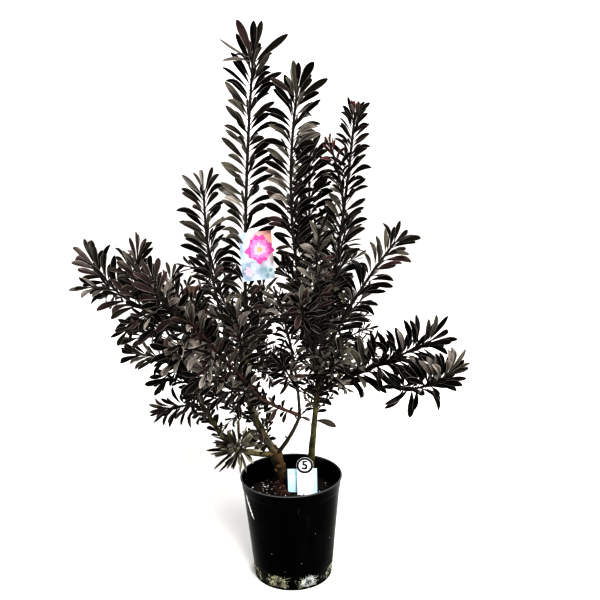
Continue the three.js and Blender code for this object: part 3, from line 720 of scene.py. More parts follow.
def leaf_look(name, tint, gloss):
    """Leathery blade: long veins, with a paler midrib and underside, painted shade towards the stalk, a pale
    margin of painted highlight and a reddish stalk.
    """
    look = Look(f"leaf_{name}", 0.42, Specular_IOR_Level=gloss)
    across, along, _ = look.split(look.node("ShaderNodeUVMap", uv_map="blade").outputs["UV"])
    underside = look.math("GREATER_THAN", across, 1.0)
    from_midrib = look.math("ABSOLUTE", look.math("SUBTRACT", look.math("FRACT", across), 0.5))
    shade = look.attribute("shade")
    veins = look.node("ShaderNodeCombineXYZ", {
        "X": look.times(across, 8.0), "Y": look.times(along, 1.4), "Z": look.times(shade, 40.0)}).outputs[0]
    streaks = look.patches(1.0, 3, 0.34, 0.66, 0.3, 1.8, roughness=0.6, place=veins)
    # Veins and a tone for each leaf, with painted shade that darkens the blade towards the stalk
    value = look.times(look.times(streaks, shade), look.between(along, 0.1, 0.8, 0.6, 1.15))
    grey = look.node("ShaderNodeCombineColor", {0: value, 1: value, 2: value}).outputs[0]
    warm = look.blend(look.patches(26, 2, 0.35, 0.65), tint, scaled(tint, 1.35))
    look.paint = look.blend(1.0, warm, grey, "MULTIPLY")
    look.over(underside, scaled(tint, 0.6, (0.022, 0.019, 0.014)), 0.75)
    midrib = look.between(from_midrib, 0.02, 0.07, 0.6, 0.0)
    look.over(midrib, scaled(tint, 1.6, (0.030, 0.024, 0.020)))
    # Painted highlight along the leaf's edges
    margin = look.between(from_midrib, 0.36, 0.45, 0.0, 0.85)
    look.over(margin, scaled(tint, 1.3, (0.17, 0.158, 0.142)))
    look.over(look.between(along, 0.02, 0.2, 0.65, 0.0), (0.050, 0.024, 0.015))
    roughness = look.patches(90, 3, 0.3, 0.7, 0.36, 0.52)
    return look.finish(look.noise(900, 3, 0.6), 0.25, 0.0004, roughness)


def twig_look(settings):
    """Stems inside the foliage: olive where old, red-brown where young."""
    look = Look("twig_bark", 0.6, scaled(settings.green, 0.17))
    grain = look.noise(220, 4, 0.6)
    look.over(look.between(look.attribute("age"), 0.05, 0.4), scaled(settings.red, 0.08))
    look.over(look.between(grain, 0.35, 0.7), scaled(settings.brown, 0.1))
    return look.finish(grain, 0.4, 0.0006)


def bark_look(name, tone, old, stretch, rough):
    """Bark with grain along the limb, dark cracks, leaf scars and painted shade on the side away from the
    light. old is the colour at the limb's foot.
    """
    look = Look(f"{name}_bark", rough, scaled(tone, 0.30))
    grain = look.noise(160, 6, 0.62, look.place((1, 1, stretch)))
    look.over(look.between(grain, 0.32, 0.68), scaled(tone, 1.5))
    look.over(look.patches(34, 3, 0.45, 0.7, 0.0, 0.55), scaled(tone, 0.6))
    look.over(look.patches(420, 2, 0.62, 0.75, 0, 0.6), (0.22, 0.20, 0.14))
    look.over(look.attribute("old"), look.blend(look.between(grain, 0.3, 0.7), old, scaled(old, 2.4)))
    # Painted shade: darker bark on the side away from the light
    look.over(look.attribute("damp"), scaled(tone, 0.1))
    look.over(look.attribute("scar"), (0.045, 0.026, 0.016), 0.75)
    return look.finish(grain, 0.7, 0.0012, look.between(grain, 0.3, 0.7, rough - 0.12, rough + 0.1))


# A white streak on the left of the pot's band: millimetres up and degrees round from the front
WHITE_STREAK = dict(middle=164, height=54, turn=-61, width=2.6, lean=5.0)


def scrape_mark(look):
    """1 along the middle of the white streak and 0 past its edges."""
    x, y, z = look.split()
    over = look.math("SUBTRACT", z, WHITE_STREAK["middle"] * MM)
    turn = look.math("ARCTAN2", x, look.times(y, -1.0))
    wander = look.patches(110, 3, 0.2, 0.8, -0.03, 0.03)
    aside = look.math("ADD", look.math("ADD", turn, wander), look.times(over, WHITE_STREAK["lean"]))
    aside = look.math("SUBTRACT", aside, math.radians(WHITE_STREAK["turn"]))
    wide = look.math("POWER", look.math("DIVIDE", aside, math.radians(WHITE_STREAK["width"])), 2.0)
    high = look.math("POWER", look.math("DIVIDE", over, WHITE_STREAK["height"] / 2 * MM), 2.0)
    return look.between(look.math("SUBTRACT", 1.6, look.math("ADD", wide, high)), 0.7, 1.0)


def pot_look(settings):
    """Black plastic with faint flow lines, dust and scuffs, mineral marks round the drain holes, and a
    painted highlight along the rim's lip.
    """
    look = Look("pot_plastic", 0.3, tuple(settings.plastic), Specular_IOR_Level=0.035)
    height = look.split()[2]
    dust = look.patches(16, 5, 0.52, 0.74, roughness=0.6, place=look.place((1, 1, 0.35)))
    look.over(dust, (0.07, 0.065, 0.06), 0.08)
    scuffs = look.patches(60, 6, 0.64, 0.7, roughness=0.7, place=look.place((1, 1, 0.08)))
    look.over(scuffs, (0.16, 0.16, 0.16), 0.1)
    low = look.between(height, 0.018, 0.034, 1.0, 0.0)
    look.over(look.times(low, look.patches(75, 5, 0.56, 0.68, roughness=0.65)), (0.40, 0.41, 0.40), 0.45)
    look.over(scrape_mark(look), (0.75, 0.75, 0.74), 0.85)
    # Painted highlight: a pale line along the rim's lip, broken up by the dust
    painted_rim_highlight = look.between(height, settings.height - 0.0022, settings.height - 0.0012)
    look.over(look.times(painted_rim_highlight, look.between(dust, 0, 1, 0.5, 0.9)), (0.17, 0.17, 0.175))
    return look.finish(look.noise(480, 3, 0.5), 0.12, 0.0003, look.between(dust, 0, 1, 0.26, 0.46))


def mix_look(settings):
    """Damp composted bark, with pale root fibres on its side low down in the pot."""
    look = Look("potting_mix", 0.92, scaled(settings.mix, 0.35))
    grain = look.noise(330, 6, 0.7)
    look.over(look.between(grain, 0.35, 0.65), scaled(settings.mix, 1.7))
    look.over(look.patches(120, 4, 0.55, 0.72), (0.075, 0.032, 0.018), 0.5)
    low = look.between(look.split()[2], 0.03, 0.05, 1.0, 0.0)
    fibre = look.patches(210, 5, 0.5, 0.7, roughness=0.7, distortion=1.5)
    look.over(look.times(low, fibre), (0.07, 0.058, 0.03))
    return look.finish(grain, 0.9, 0.002)


def grain_look(name, color, dark, rough, scale):
    """Small crumbs: two shades of one colour, with a fine relief."""
    look = Look(name, rough, dark)
    grain = look.noise(scale, 4, 0.6)
    look.over(look.between(grain, 0.35, 0.65), color)
    return look.finish(grain, 0.5, 0.0005)


def label_look(name, color, band=None, band_foot=0.0):
    """Printed plastic label with dust and scratches. band is the colour above the height band_foot."""
    look = Look(name, 0.34, color, Coat_Weight=0.2)
    look.over(look.patches(70, 5, 0.5, 0.75, roughness=0.6), scaled(color, 0.7), 0.1)
    height = look.split()[2]
    if band:
        look.over(look.math("GREATER_THAN", height, band_foot), band)
    smears = look.patches(160, 5, 0.45, 0.6, roughness=0.65)
    look.over(look.times(look.between(height, 0.170, 0.182, 0.4, 0.0), smears), (0.10, 0.065, 0.04))
    scratches = look.patches(
        220, 4, 0.35, 0.65, 0.26, 0.44, roughness=0.6, place=look.place((1, 1, 0.2)))
    return look.finish(look.noise(260, 3), 0.1, 0.0003, scratches)


def ink_look(name, color, rough=0.4):
    """Ink with a slightly uneven density."""
    look = Look(name, rough, color)
    density = look.patches(500, 3, 0.35, 0.65)
    look.over(density, scaled(color, 1.35, (0.004, 0.004, 0.004)))
    return look.finish(density, 0.05, 0.0001)


def card_look():
    """Printed card: pale blue-grey at the left and the foot, peach at the top right, under a gloss film."""
    look = Look("printed_card", 0.22, (0.24, 0.32, 0.40), Coat_Weight=0.5, Coat_Roughness=0.12)
    x, _, z = look.split()
    look.over(look.patches(48, 3, 0.35, 0.65, roughness=0.5), (0.55, 0.63, 0.70))
    look.over(look.times(look.between(x, -0.085, -0.022), look.between(z, 0.602, 0.688)), (0.78, 0.42, 0.34))
    return look.finish(look.noise(300, 2), 0.05, 0.0002)


# Pot and potting mix. Lengths are millimetres, and metres where MM is in them.

POT_BAND = dict(height=22, step=1.2)
POT_RIM = dict(height=4, overhang=1.6, bead=1.9)
POT_FLOOR = 3
POT_ROUNDING = 1.5
POT_FOOT_INSET = 1.6
# The wall's outside from its foot to the band, and from the band's foot up: heights, and how far it stands
# proud of a wall that widens evenly
WALL_OUTSIDE = (
    (0.4, -0.6), (1.4, 0), (3.4, 0.1), (4.0, -0.5), (4.8, -0.6), (5.6, -0.2), (50, 0), (100, 0), (150, 0),
)
BAND_OUTSIDE = ((-3.0, 0), (-1.6, 0.18), (0, 1.02), (0.8, 1.2), (16.8, 1.2))
BEAD_DEGREES = range(-70, 191, 20)
WALL_INSIDE = (150, 100, 50)
DRAIN = dict(count=8, width=28, bottom=4, height=22, arch=0.8, depth=16)
DRAIN_HALF = DRAIN["width"] / 2 * MM
DRAIN_FOOT = DRAIN["bottom"] * MM
DRAIN_SHOULDER = (DRAIN["bottom"] + DRAIN["height"]) * MM - DRAIN_HALF * DRAIN["arch"]
# Middle of the roots and the crust, how far in the roots reach their depth, and the lowest and highest
# place of both
DRAIN_MIDDLE = 14 * MM
DRAIN_EDGE = 2.5 * MM
LOWEST, HIGHEST = 4.5 * MM, 31 * MM
FULLEST_DRAIN = 247.5
# Roots start near a hole's middle and wander outwards in steps, sunk behind it or proud of the wall
ROOT = dict(
    spread=6.0, rise=4.2, aside=0.45, steps=7, step=1.9, wander=0.5, sunk=(-0.4, 1.2), proud=0.3,
    radius=(0.2, 0.42),
)
MIX = dict(edge=163, mound=24, spread=52, gap=0.35, rings=44, side=(30, 60, 100, 140), even_margin=4)
FOOT_HEAP = dict(height=10, spread=20, place=(-17, 12))
# The mix's unevenness: lumps for each metre, where their pattern starts, and their depth
LUMPS = ((45, 0.3, 2.2), (160, 7.1, 1.4), (420, 3.7, 0.7))
# Lengths of the crumbs on the mix, from and to, and their widths and heights as shares of that. A few of
# the chips are long, and the bark that the trunk shed lies round its foot. lean is how far they tilt off the
# slope, and rise how far above it their middles lie.
CHIP, LONG_CHIP, USUAL_CHIPS = (2.5, 8.5), (8, 15), 0.8
PERLITE = (1.1, 4.0)
CHIP_SHAPE, PERLITE_SHAPE = ((0.3, 0.6), (0.14, 0.3)), ((0.7, 1.0), (0.6, 0.9))
SHED = dict(length=(4, 11), middle=(-19, 1), spread=(9, 18), lean=0.6)
CRUMBS = dict(margin=5, lean=0.45, chip_rise=0.6, shed_rise=1, perlite_rise=0.8)
# Crust round a drain hole, by the degrees at which it stands: how many flakes, how far from its middle,
# how far they spread, and the largest one's size. None is for all the other holes.
CRUST = {
    292.5: (4.5, 11.5, 3.4, 2.1),
    247.5: (1.5, 13.0, 3.0, 1.3),
    None: (0.4, 14.0, 3.5, 1.2),
}
# The flakes: their shape against their length, how they sit, and the size of those on a hole's edge
FLAKE = dict(wide=0.7, high=0.45, sunk=0.2, proud=0.1, smallest=0.4, low_ring=0.85, off_edge=0.5)
EDGE_FLAKE, SPECK = (0.8, 1.7), 1.8
# Single specks of crust on the wall: degrees round and height
WHITE_SPECKS = ((-33, 95), (-78, 60), (-118, 78), (-101, 42), (-60, 120), (70, 60), (150, 100))


def wall_radius(settings, height):
    """Outer radius of the pot's wall at a height, in metres."""
    top = settings.rim_radius - (POT_RIM["overhang"] + POT_BAND["step"]) * MM
    return settings.base_radius + (top - settings.base_radius) * height / settings.height


def pot_profile(settings):
    """(radius, height) points from the underside, up the outside, over the rim and down the inside."""
    band_foot = settings.height - POT_BAND["height"] * MM
    floor, bead, corner = POT_FLOOR * MM, POT_RIM["bead"] * MM, POT_ROUNDING * MM
    outside = [(height * MM, proud * MM) for height, proud in WALL_OUTSIDE]
    outside += [(band_foot + height * MM, proud * MM) for height, proud in BAND_OUTSIDE]
    profile = [(settings.base_radius - POT_FOOT_INSET * MM, 0.0)]
    profile += [(wall_radius(settings, height) + proud, height) for height, proud in outside]
    for degrees in BEAD_DEGREES:
        across, up = math.cos(math.radians(degrees)), math.sin(math.radians(degrees))
        profile.append((settings.rim_radius - bead + bead * across, settings.height - bead + bead * up))
    inside = [settings.height - POT_RIM["height"] * MM, band_foot]
    inside += [*(height * MM for height in WALL_INSIDE), floor + corner]
    profile += [(wall_radius(settings, height) - settings.wall, height) for height in inside]
    return profile + [(wall_radius(settings, floor) - settings.wall - corner, floor)]


def drain_angle(i):
    return (i + 0.5) / DRAIN["count"] * math.tau


def build_pot(settings):
    """The pot, with round-topped drain holes cut through the foot of its wall."""
    pot = lathe(pot_profile(settings), settings.segments)
    model = arched_plate(
        DRAIN_HALF, DRAIN_HALF, DRAIN["arch"], DRAIN_SHOULDER, DRAIN_FOOT, DRAIN["depth"] * MM, 32)
    cutters = []
    for i in range(DRAIN["count"]):
        cutter = bpy.data.objects.new("cutter", model.data.copy())
        turn = Matrix.Rotation(drain_angle(i), 4, "Z")
        cutter.data.transform(turn @ Matrix.Translation((0, settings.base_radius, 0)))
        bpy.context.scene.collection.objects.link(cutter)
        cutters.append(cutter)
    bpy.data.objects.remove(model)
    cutter = join_pieces(cutters)
    apply_modifier(pot, "BOOLEAN", operation="DIFFERENCE", object=cutter, solver="EXACT")
    bpy.data.objects.remove(cutter)
    finish_piece(pot, "nursery_pot", pot_look(settings), "pot_plastic", "pot", smooth=35)


def mound_height(radius):
    """Height of the potting mix at a radius, in metres."""
    heap = MIX["mound"] * np.exp(-((radius / MM / MIX["spread"]) ** 2))
    return (MIX["edge"] + heap) * MM


def mound_relief(x, y):
    """Unevenness of the mix, and the heap round the trunk's foot, in metres."""
    heap_x, heap_y = FOOT_HEAP["place"]
    aside = math.hypot(x - heap_x * MM, y - heap_y * MM) / (FOOT_HEAP["spread"] * MM)
    relief = FOOT_HEAP["height"] * MM * math.exp(-(aside**2))
    for scale, start, depth in LUMPS:
        relief += depth * MM * noise.noise(Vector((x * scale, y * scale, start)))
    return relief


def build_mix(settings):
    gap = settings.wall + MIX["gap"] * MM
    foot = (POT_FLOOR + MIX["gap"]) * MM
    corner, edge_height = POT_ROUNDING * MM, MIX["edge"] * MM
    edge = wall_radius(settings, edge_height) - gap
    heights = (foot + corner, *(height * MM for height in MIX["side"]))
    profile = [(wall_radius(settings, foot) - gap - corner, foot)]
    profile += [(wall_radius(settings, height) - gap, height) for height in heights]
    radii = [edge * (1 - i / MIX["rings"]) for i in range(MIX["rings"])]
    obj = lathe(profile + [(radius, mound_height(radius)) for radius in radii], settings.segments)
    points = coordinates(obj)
    from_edge = edge - np.hypot(points[:, 0], points[:, 1])
    inside = smooth_step(from_edge / (MIX["even_margin"] * MM)) * (points[:, 2] > edge_height - MM)
    points[:, 2] += inside * np.array([mound_relief(x, y) for x, y, _ in points])
    set_coordinates(obj, points)
    finish_piece(
        obj, "bark_potting_mix", mix_look(settings), "potting_mix", "potting_mix", smooth=60)


def mound_at(x, y, lift):
    """A place on the mix, and the slope's normal there."""
    radius = max(1e-6, math.hypot(x, y))
    slope = (mound_height(radius + MM) - mound_height(radius)) / MM
    normal = Vector((-slope * x / radius, -slope * y / radius, 1)).normalized()
    return Vector((x, y, mound_height(radius) + mound_relief(x, y) + lift)), normal


def tilted(normal, chance, most):
    return (normal + Vector((chance.uniform(-most, most), chance.uniform(-most, most), 0))).normalized()


def on_mound(chance, edge, lift):
    """A seeded place on the mix, and a direction near the slope's normal there."""
    radius = edge * math.sqrt(chance.random())
    angle = chance.random() * math.tau
    place, normal = mound_at(radius * math.cos(angle), radius * math.sin(angle), lift)
    return place, tilted(normal, chance, CRUMBS["lean"])


def crumb_size(chance, lengths, shape):
    length = chance.uniform(*lengths) * MM
    return (length, *(length * chance.uniform(*share) for share in shape))


def build_crumbs(settings):
    """Chips of bark, flakes round the trunk's foot and grains of perlite, which lie on the mix."""
    edge = wall_radius(settings, MIX["edge"] * MM) - settings.wall - CRUMBS["margin"] * MM
    chance = random.Random(41)
    chips, shed, grains = [], [], []
    for _ in range(settings.chips):
        place, normal = on_mound(chance, edge, CRUMBS["chip_rise"] * MM)
        lengths = CHIP if chance.random() < USUAL_CHIPS else LONG_CHIP
        chips.append(dropped(chance, place, normal, crumb_size(chance, lengths, CHIP_SHAPE)))
    for _ in range(settings.shed_bark):
        x, y = (chance.gauss(*row) * MM for row in zip(SHED["middle"], SHED["spread"]))
        place, normal = mound_at(x, y, CRUMBS["shed_rise"] * MM)
        size = crumb_size(chance, SHED["length"], CHIP_SHAPE)
        shed.append(dropped(chance, place, tilted(normal, chance, SHED["lean"]), size))
    for _ in range(settings.perlite):
        place, normal = on_mound(chance, edge, CRUMBS["perlite_rise"] * MM)
        grains.append(dropped(chance, place, normal, crumb_size(chance, PERLITE, PERLITE_SHAPE)))
    brown = grain_look("bark_chips", (0.024, 0.012, 0.007), (0.003, 0.002, 0.0015), 0.85, 380)
    red = grain_look("shed_bark", (0.085, 0.035, 0.022), (0.012, 0.006, 0.004), 0.85, 300)
    white = grain_look("perlite", (0.80, 0.79, 0.75), (0.50, 0.48, 0.43), 0.8, 900)
    finish_piece(scatter(pebble(3), chips), "bark_chips", brown, "potting_mix")
    finish_piece(scatter(pebble(11), shed), "shed_bark", red, "potting_mix")
    finish_piece(scatter(pebble(5), grains), "perlite_grains", white, "potting_mix")


def on_drain(settings, middle, x, height, sunk, proud):
    """A place on the mix behind a drain hole, or on the wall beside it. x is from the hole's middle."""
    height = max(LOWEST, height)
    over_shoulder = max(0.0, height - DRAIN_SHOULDER) / DRAIN["arch"]
    from_middle = math.hypot(x, over_shoulder)
    depth = float(smooth_step((DRAIN_HALF - from_middle) / DRAIN_EDGE))
    radius = wall_radius(settings, height) + proud - (settings.wall + sunk + proud) * depth
    angle = middle + x / settings.base_radius
    return Vector((radius * math.cos(angle), radius * math.sin(angle), height))


def build_roots(settings):
    """Fine roots that fill the drain holes and creep out over their edges."""
    chance = random.Random(57)
    vertices, faces = [], []
    step, spread, rise = (ROOT[key] * MM for key in ("step", "spread", "rise"))
    for i in range(DRAIN["count"]):
        middle = drain_angle(i)
        fullest = abs(math.degrees(middle) - FULLEST_DRAIN) < 1
        for _ in range(settings.roots if fullest else settings.roots // 2):
            x, height = chance.gauss(0, spread), DRAIN_MIDDLE + chance.gauss(0, rise)
            heading = math.atan2(height - DRAIN_MIDDLE + MM, x) + chance.gauss(0, ROOT["aside"])
            line = []
            for _ in range(ROOT["steps"]):
                heading += chance.uniform(-ROOT["wander"], ROOT["wander"])
                x += step * math.cos(heading)
                height = min(HIGHEST, max(LOWEST, height + step * math.sin(heading)))
                sunk = chance.uniform(*ROOT["sunk"]) * MM
                line.append(on_drain(settings, middle, x, height, sunk, ROOT["proud"] * MM))
            add_strand(vertices, faces, line, chance.uniform(*ROOT["radius"]) * MM)
    olive = grain_look("root_fibre", (0.46, 0.45, 0.30), (0.030, 0.029, 0.016), 0.75, 230)
    finish_piece(object_from_arrays(vertices, faces), "drain_roots", olive, "potting_mix", smooth=60)


def add_strand(vertices, faces, line, radius):
    """Adds a thin tube along a line of points."""
    rings = []
    for i, point in enumerate(line):
        ahead = (line[min(i + 1, len(line) - 1)] - line[max(i - 1, 0)]).normalized()
        side = ahead.cross(Vector((0, 0, 1)))
        side = side.normalized() if side.length > 1e-6 else Vector((1, 0, 0))
        rings.append((point, side, ahead.cross(side), radius))
    add_tube(vertices, faces, rings, 4)


def add_tube(vertices, faces, rings, sides):
    """Adds a tube with closed ends through rings of (middle, side, other side, radius)."""
    start = len(vertices)
    for point, side, other, radius in rings:
        for k in range(sides):
            vertices.append(point + radius * round_stem(side, other, k / sides * math.tau))
    last = len(vertices) - sides
    for a in range(start, last, sides):
        for k in range(sides):
            b, c = a + k, a + (k + 1) % sides
            faces.append([b, c, c + sides, b + sides])
    faces.append([start + k for k in reversed(range(sides))])
    faces.append([last + k for k in range(sides)])


def drain_edge(share):
    """A place on a drain hole's outline, from its left foot over the arch to its right foot."""
    leg = DRAIN_SHOULDER - DRAIN_FOOT
    reach = share * (2 * leg + math.pi * DRAIN_HALF)
    if reach < leg:
        return -DRAIN_HALF, DRAIN_FOOT + reach
    if reach > leg + math.pi * DRAIN_HALF:
        return DRAIN_HALF, DRAIN_SHOULDER - (reach - leg - math.pi * DRAIN_HALF)
    turn = (reach - leg) / DRAIN_HALF
    return -DRAIN_HALF * math.cos(turn), DRAIN_SHOULDER + DRAIN_HALF * DRAIN["arch"] * math.sin(turn)


def build_crust(settings):
    """White mineral crust round the drain holes, thickest at the front right."""
    chance = random.Random(73)
    flakes = []

    def add_flake(middle, x, height, size):
        if height < LOWEST:
            return
        place = on_drain(settings, middle, x, height, FLAKE["sunk"] * MM, FLAKE["proud"] * MM)
        outward = Vector((place.x, place.y, 0)).normalized()
        flakes.append(dropped(chance, place, outward, (size, size * FLAKE["wide"], size * FLAKE["high"])))

    for i in range(DRAIN["count"]):
        middle = drain_angle(i)
        number, away, spread, largest = CRUST.get(round(math.degrees(middle) * 2) / 2, CRUST[None])
        for _ in range(round(settings.crust * number)):
            turn = chance.uniform(0, math.tau)
            reach = (away + chance.gauss(0, spread)) * MM
            size = chance.uniform(FLAKE["smallest"], largest) * MM
            height = DRAIN_MIDDLE + FLAKE["low_ring"] * reach * math.sin(turn)
            add_flake(middle, reach * math.cos(turn), height, size)
        for _ in range(0 if number > 1 else settings.crust):
            x, height = drain_edge(chance.random())
            x, height = (value + chance.gauss(0, FLAKE["off_edge"] * MM) for value in (x, height))
            add_flake(middle, x, height, chance.uniform(*EDGE_FLAKE) * MM)
    for turn, height in WHITE_SPECKS:
        add_flake(math.radians(turn), 0, height * MM, SPECK * MM)
    white = grain_look("mineral_crust", (0.82, 0.85, 0.87), (0.34, 0.37, 0.39), 0.7, 700)
    finish_piece(scatter(pebble(9), flakes), "mineral_crust", white, "pot_plastic")


# Trunk and boughs

BOUGH_RINGS = 2.2 * MM
SCAR_SPACING = 6.5 * MM
# Half the width and height of a leaf scar
SCAR = (2.0, 1.6)
OLD_WOOD = 26 * MM
# The side of every limb that faces the light, which is left clear of painted shade
LIT_SIDE = (0.80, -0.45, 0.40)
BURL = dict(at=0.9, spread=0.16)
# Knobs: how deep their middle lies against the limb's width, how their size varies, and their shape
KNOT = dict(sunk=0.48, vary=(0.7, 1.15), wide=0.8, high=0.6)
# How far a foot without flare widens, and how soon each kind narrows
PLAIN_FOOT, PLAIN_FALL, FLARE_FALL = 1.4, 14, 3
# Ridges and knobs of the bark: how many for each metre round and along
RIDGES, KNOBS = (210, 210, 55), (70, 70, 40)
KNOB_PATTERN, KNOB_DEPTH = Vector((5, 1, 2)), 1.2
# Depth of each bark's ridges against the setting, and how clear its leaf scars are
BARKS = {"brown": (2.4, 0.5), "green": (0.7, 1.0), "red": (0.7, 1.0)}


def bough_mesh(limb, thick):
    """A bevelled curve along the limb, turned into a mesh."""
    obj = added(bpy.ops.curve.primitive_bezier_curve_add)
    foot, middle, tip = limb.knots
    start, end = obj.data.splines[0].bezier_points
    for knot in (start, end):
        knot.handle_left_type = knot.handle_right_type = "FREE"
    start.co, start.handle_left, start.handle_right = foot, foot * 2 - middle, foot.lerp(middle, 2 / 3)
    end.co, end.handle_left, end.handle_right = tip, tip.lerp(middle, 2 / 3), tip * 2 - middle
    start.radius, end.radius = thick[0] / 2 * MM, thick[1] / 2 * MM
    obj.data.bevel_depth = 1
    obj.data.bevel_resolution = 8
    obj.data.resolution_u = max(8, round(limb.length / BOUGH_RINGS))
    obj.data.use_fill_caps = True
    bpy.ops.object.convert(target="MESH")
    return bpy.context.object


def bark_relief(obj, limb, row, settings):
    """Moves the surface in and out: foot flare, bark ridges and a spiral of leaf scars."""
    points = coordinates(obj)
    nearest = np.argmin(((points[:, None, :] - limb.points[None, :, :]) ** 2).sum(axis=2), axis=1)
    along = limb.reach[nearest]
    outward = points - limb.points[nearest]
    direction = np.gradient(limb.points, axis=0)[nearest]
    direction /= np.linalg.norm(direction, axis=1)[:, None]
    outward -= (outward * direction).sum(axis=1)[:, None] * direction
    radii = np.linalg.norm(outward, axis=1)
    outward /= np.maximum(radii, 1e-9)[:, None]
    bend = np.array(limb.bend)
    angle = np.arctan2(outward @ bend, (outward * np.cross(bend, direction)).sum(axis=1))
    share = along / limb.length
    ridge_depth, scar_tint = BARKS[row["bark"]]

    fall = FLARE_FALL if "flare" in row else PLAIN_FALL
    move = row.get("flare", PLAIN_FOOT) * MM * (1 - share) ** fall
    move += row.get("burl", 0) * MM * np.exp(-(((share - BURL["at"]) / BURL["spread"]) ** 2))
    for i, point in enumerate(points):
        ridges = noise.noise(Vector(point * RIDGES))
        knobs = noise.noise(Vector(point * KNOBS) + KNOB_PATTERN)
        move[i] += settings.relief * (ridge_depth * ridges + KNOB_DEPTH * knobs)
    scars = np.zeros(len(points))
    for i in range(int(limb.length / SCAR_SPACING)):
        away = (angle - i * GOLDEN_TURN + math.pi) % math.tau - math.pi
        over = (along - (i + 0.5) * SCAR_SPACING) / (SCAR[1] * MM)
        aside = away * radii / (SCAR[0] * MM)
        scars = np.maximum(scars, np.exp(-(over**2) - aside**2))
    move += settings.scar * scars
    move[radii < 1e-6] = 0
    set_coordinates(obj, points + outward * move[:, None])
    old = np.exp(-along / OLD_WOOD) if row["grows"] in (None, "trunk") else 0 * along
    # Painted shade, strongest on the side away from the light
    damp = row["damp"] * (0.5 - 0.5 * outward @ np.array(LIT_SIDE))
    point_attribute(obj, "scar", scars * scar_tint)
    point_attribute(obj, "old", old)
    point_attribute(obj, "damp", np.clip(damp, 0, 1))


def knots_on(limb, row):
    """Knobs on old wood, left by pruning and by side buds, half sunk in the bark."""
    count, first, last, size = row["knots"]
    foot, tip = row["thick"]
    chance = random.Random(19)
    places = []
    for i in range(count):
        share = first + (last - first) * (i + 0.5) / count
        point, _, side, other = limb.frame(share)
        away = round_stem(side, other, i * GOLDEN_TURN)
        sunk = (foot + (tip - foot) * share) * MM * KNOT["sunk"]
        knob = size * MM * chance.uniform(*KNOT["vary"])
        shape = (knob, knob * KNOT["wide"], knob * KNOT["high"])
        places.append(turn_and_stretch(point + away * sunk, away, i * GOLDEN_TURN, shape))
    return scatter(pebble(23, 2), places)


def build_boughs(settings, limbs):
    looks = {
        "brown": bark_look("brown", settings.brown, scaled(settings.brown, 0.7), 0.22, 0.85),
        "green": bark_look("green", settings.green, scaled(settings.brown, 0.6), 0.35, 0.66),
        "red": bark_look("red", settings.red, settings.red, 0.35, 0.6),
    }
    for bark, look in looks.items():
        names = [name for name, row in BOUGHS.items() if row["bark"] == bark]
        made = []
        for name in names:
            obj = bough_mesh(limbs[name], BOUGHS[name]["thick"])
            bark_relief(obj, limbs[name], BOUGHS[name], settings)
            made.append(obj)
            if "knots" in BOUGHS[name]:
                made.append(knots_on(limbs[name], BOUGHS[name]))
        finish_piece(join_pieces(made), f"{bark}_bark_boughs", look, f"{bark}_bark", *names, smooth=50)


# Foliage. Lengths are millimetres, and metres where MM is in them.

TWIG = dict(step=8, sides=6, foot=1.05, taper=0.4, narrow=0.88)
# Short twigs: turn is how far they stand round the stem from their place in the spiral, in radians, and the
# leaf at their foot is foot_leaf of that at their tip
SPRAY = dict(
    thick=2.6, length=60, vary=(0.75, 1.2), bow=0.05, open=50, turn=(-0.4, 0.4), first=0.15, last=0.8,
    leaf=0.74, foot_leaf=0.7, young=0.7,
)
# Size of a leaf at its stem's foot against the largest, the share of the stem by which leaves are largest,
# and how much smaller they are at the tip. New leaves close up and are smaller, the youngest most.
GROWTH = dict(foot=0.72, grown=0.22, tip=0.10)
NEW_LEAF = dict(close=0.5, length=0.85, shrink=0.35)
# How leaves differ, from least to most: degrees round the stem, length, width, how well they follow the
# light, curl, shade, rise of the tip, arch, and how many in a row share a tint
VARIED = dict(
    turn=(-10, 10), length=(0.86, 1.12), width=(0.86, 1.14), follow=(0.75, 1.0), curl=(-0.1, 0.14),
    shade=(0.35, 1.6), rise=(-0.16, 0.14), arch=(0.0, 0.18), spray=(2, 5),
)
TWIST_SPREAD = 0.15
STRAY_LEAF = dict(thick=5, width=0.3, rise=(-0.1, 0.05), curl=0.03, arch=0.05)
# Where the light on the leaves comes from: shares from the front, the side and the top. rear, outward and
# upright are limits, each with the width over which it sets in: how far back a leaf stands, in metres, and
# how far it points to the front or the back, on how upright a stem.
PLANT_AXIS = Vector((0.02, 0.03, 0))
LIGHT = dict(
    front=0.9, side=0.05, top=0.3, core=0.64, rear=(0.10, 0.06), outward=(0.42, 0.22), upright=(0.8, 0.12),
)
# Shares of a leaf: where its light is measured, by where it has turned on its stalk, and how much thinner
# its tip is
LIT, TURNED, THINNER = 0.6, 0.25, 0.6
# Points along a leaf that keep clear of the stems, the tag, the pot's wall and the mix, and how clear they
# keep of a stem: a share of its radius, and more
LEAF_PROBES = (0.45, 0.7, 0.97)
CLEAR_SHARE, CLEAR = 0.8, 1.0 * MM
TAG_ZONE = dict(beside=2, behind=4, front=90)
POT_ZONE = dict(top=212, inner=90, outer=106, mix=190)


def pair(value):
    return value if isinstance(value, tuple) else (value, value)


def stem_of(limb, row, mass=None, young=0.0):
    """A leafy stem on a limb: its row in metres, with the values of STEM where the row has none. young is
    how young its bark is at its foot."""
    stem = SimpleNamespace(**{**STEM, **row}, limb=limb, mass=mass, young=young)
    stem.habit = ROSETTE if stem.rosette else UPRIGHT
    if stem.rosette:
        stem.first = max(0.04, 1 - stem.rosette * MM / limb.length)
    stem.thick *= MM
    stem.leaf = tuple(length * MM for length in pair(stem.leaf))
    stem.closing = (stem.closing or stem.habit["closing"]) * MM
    stem.tones = pair(stem.tone)
    return stem


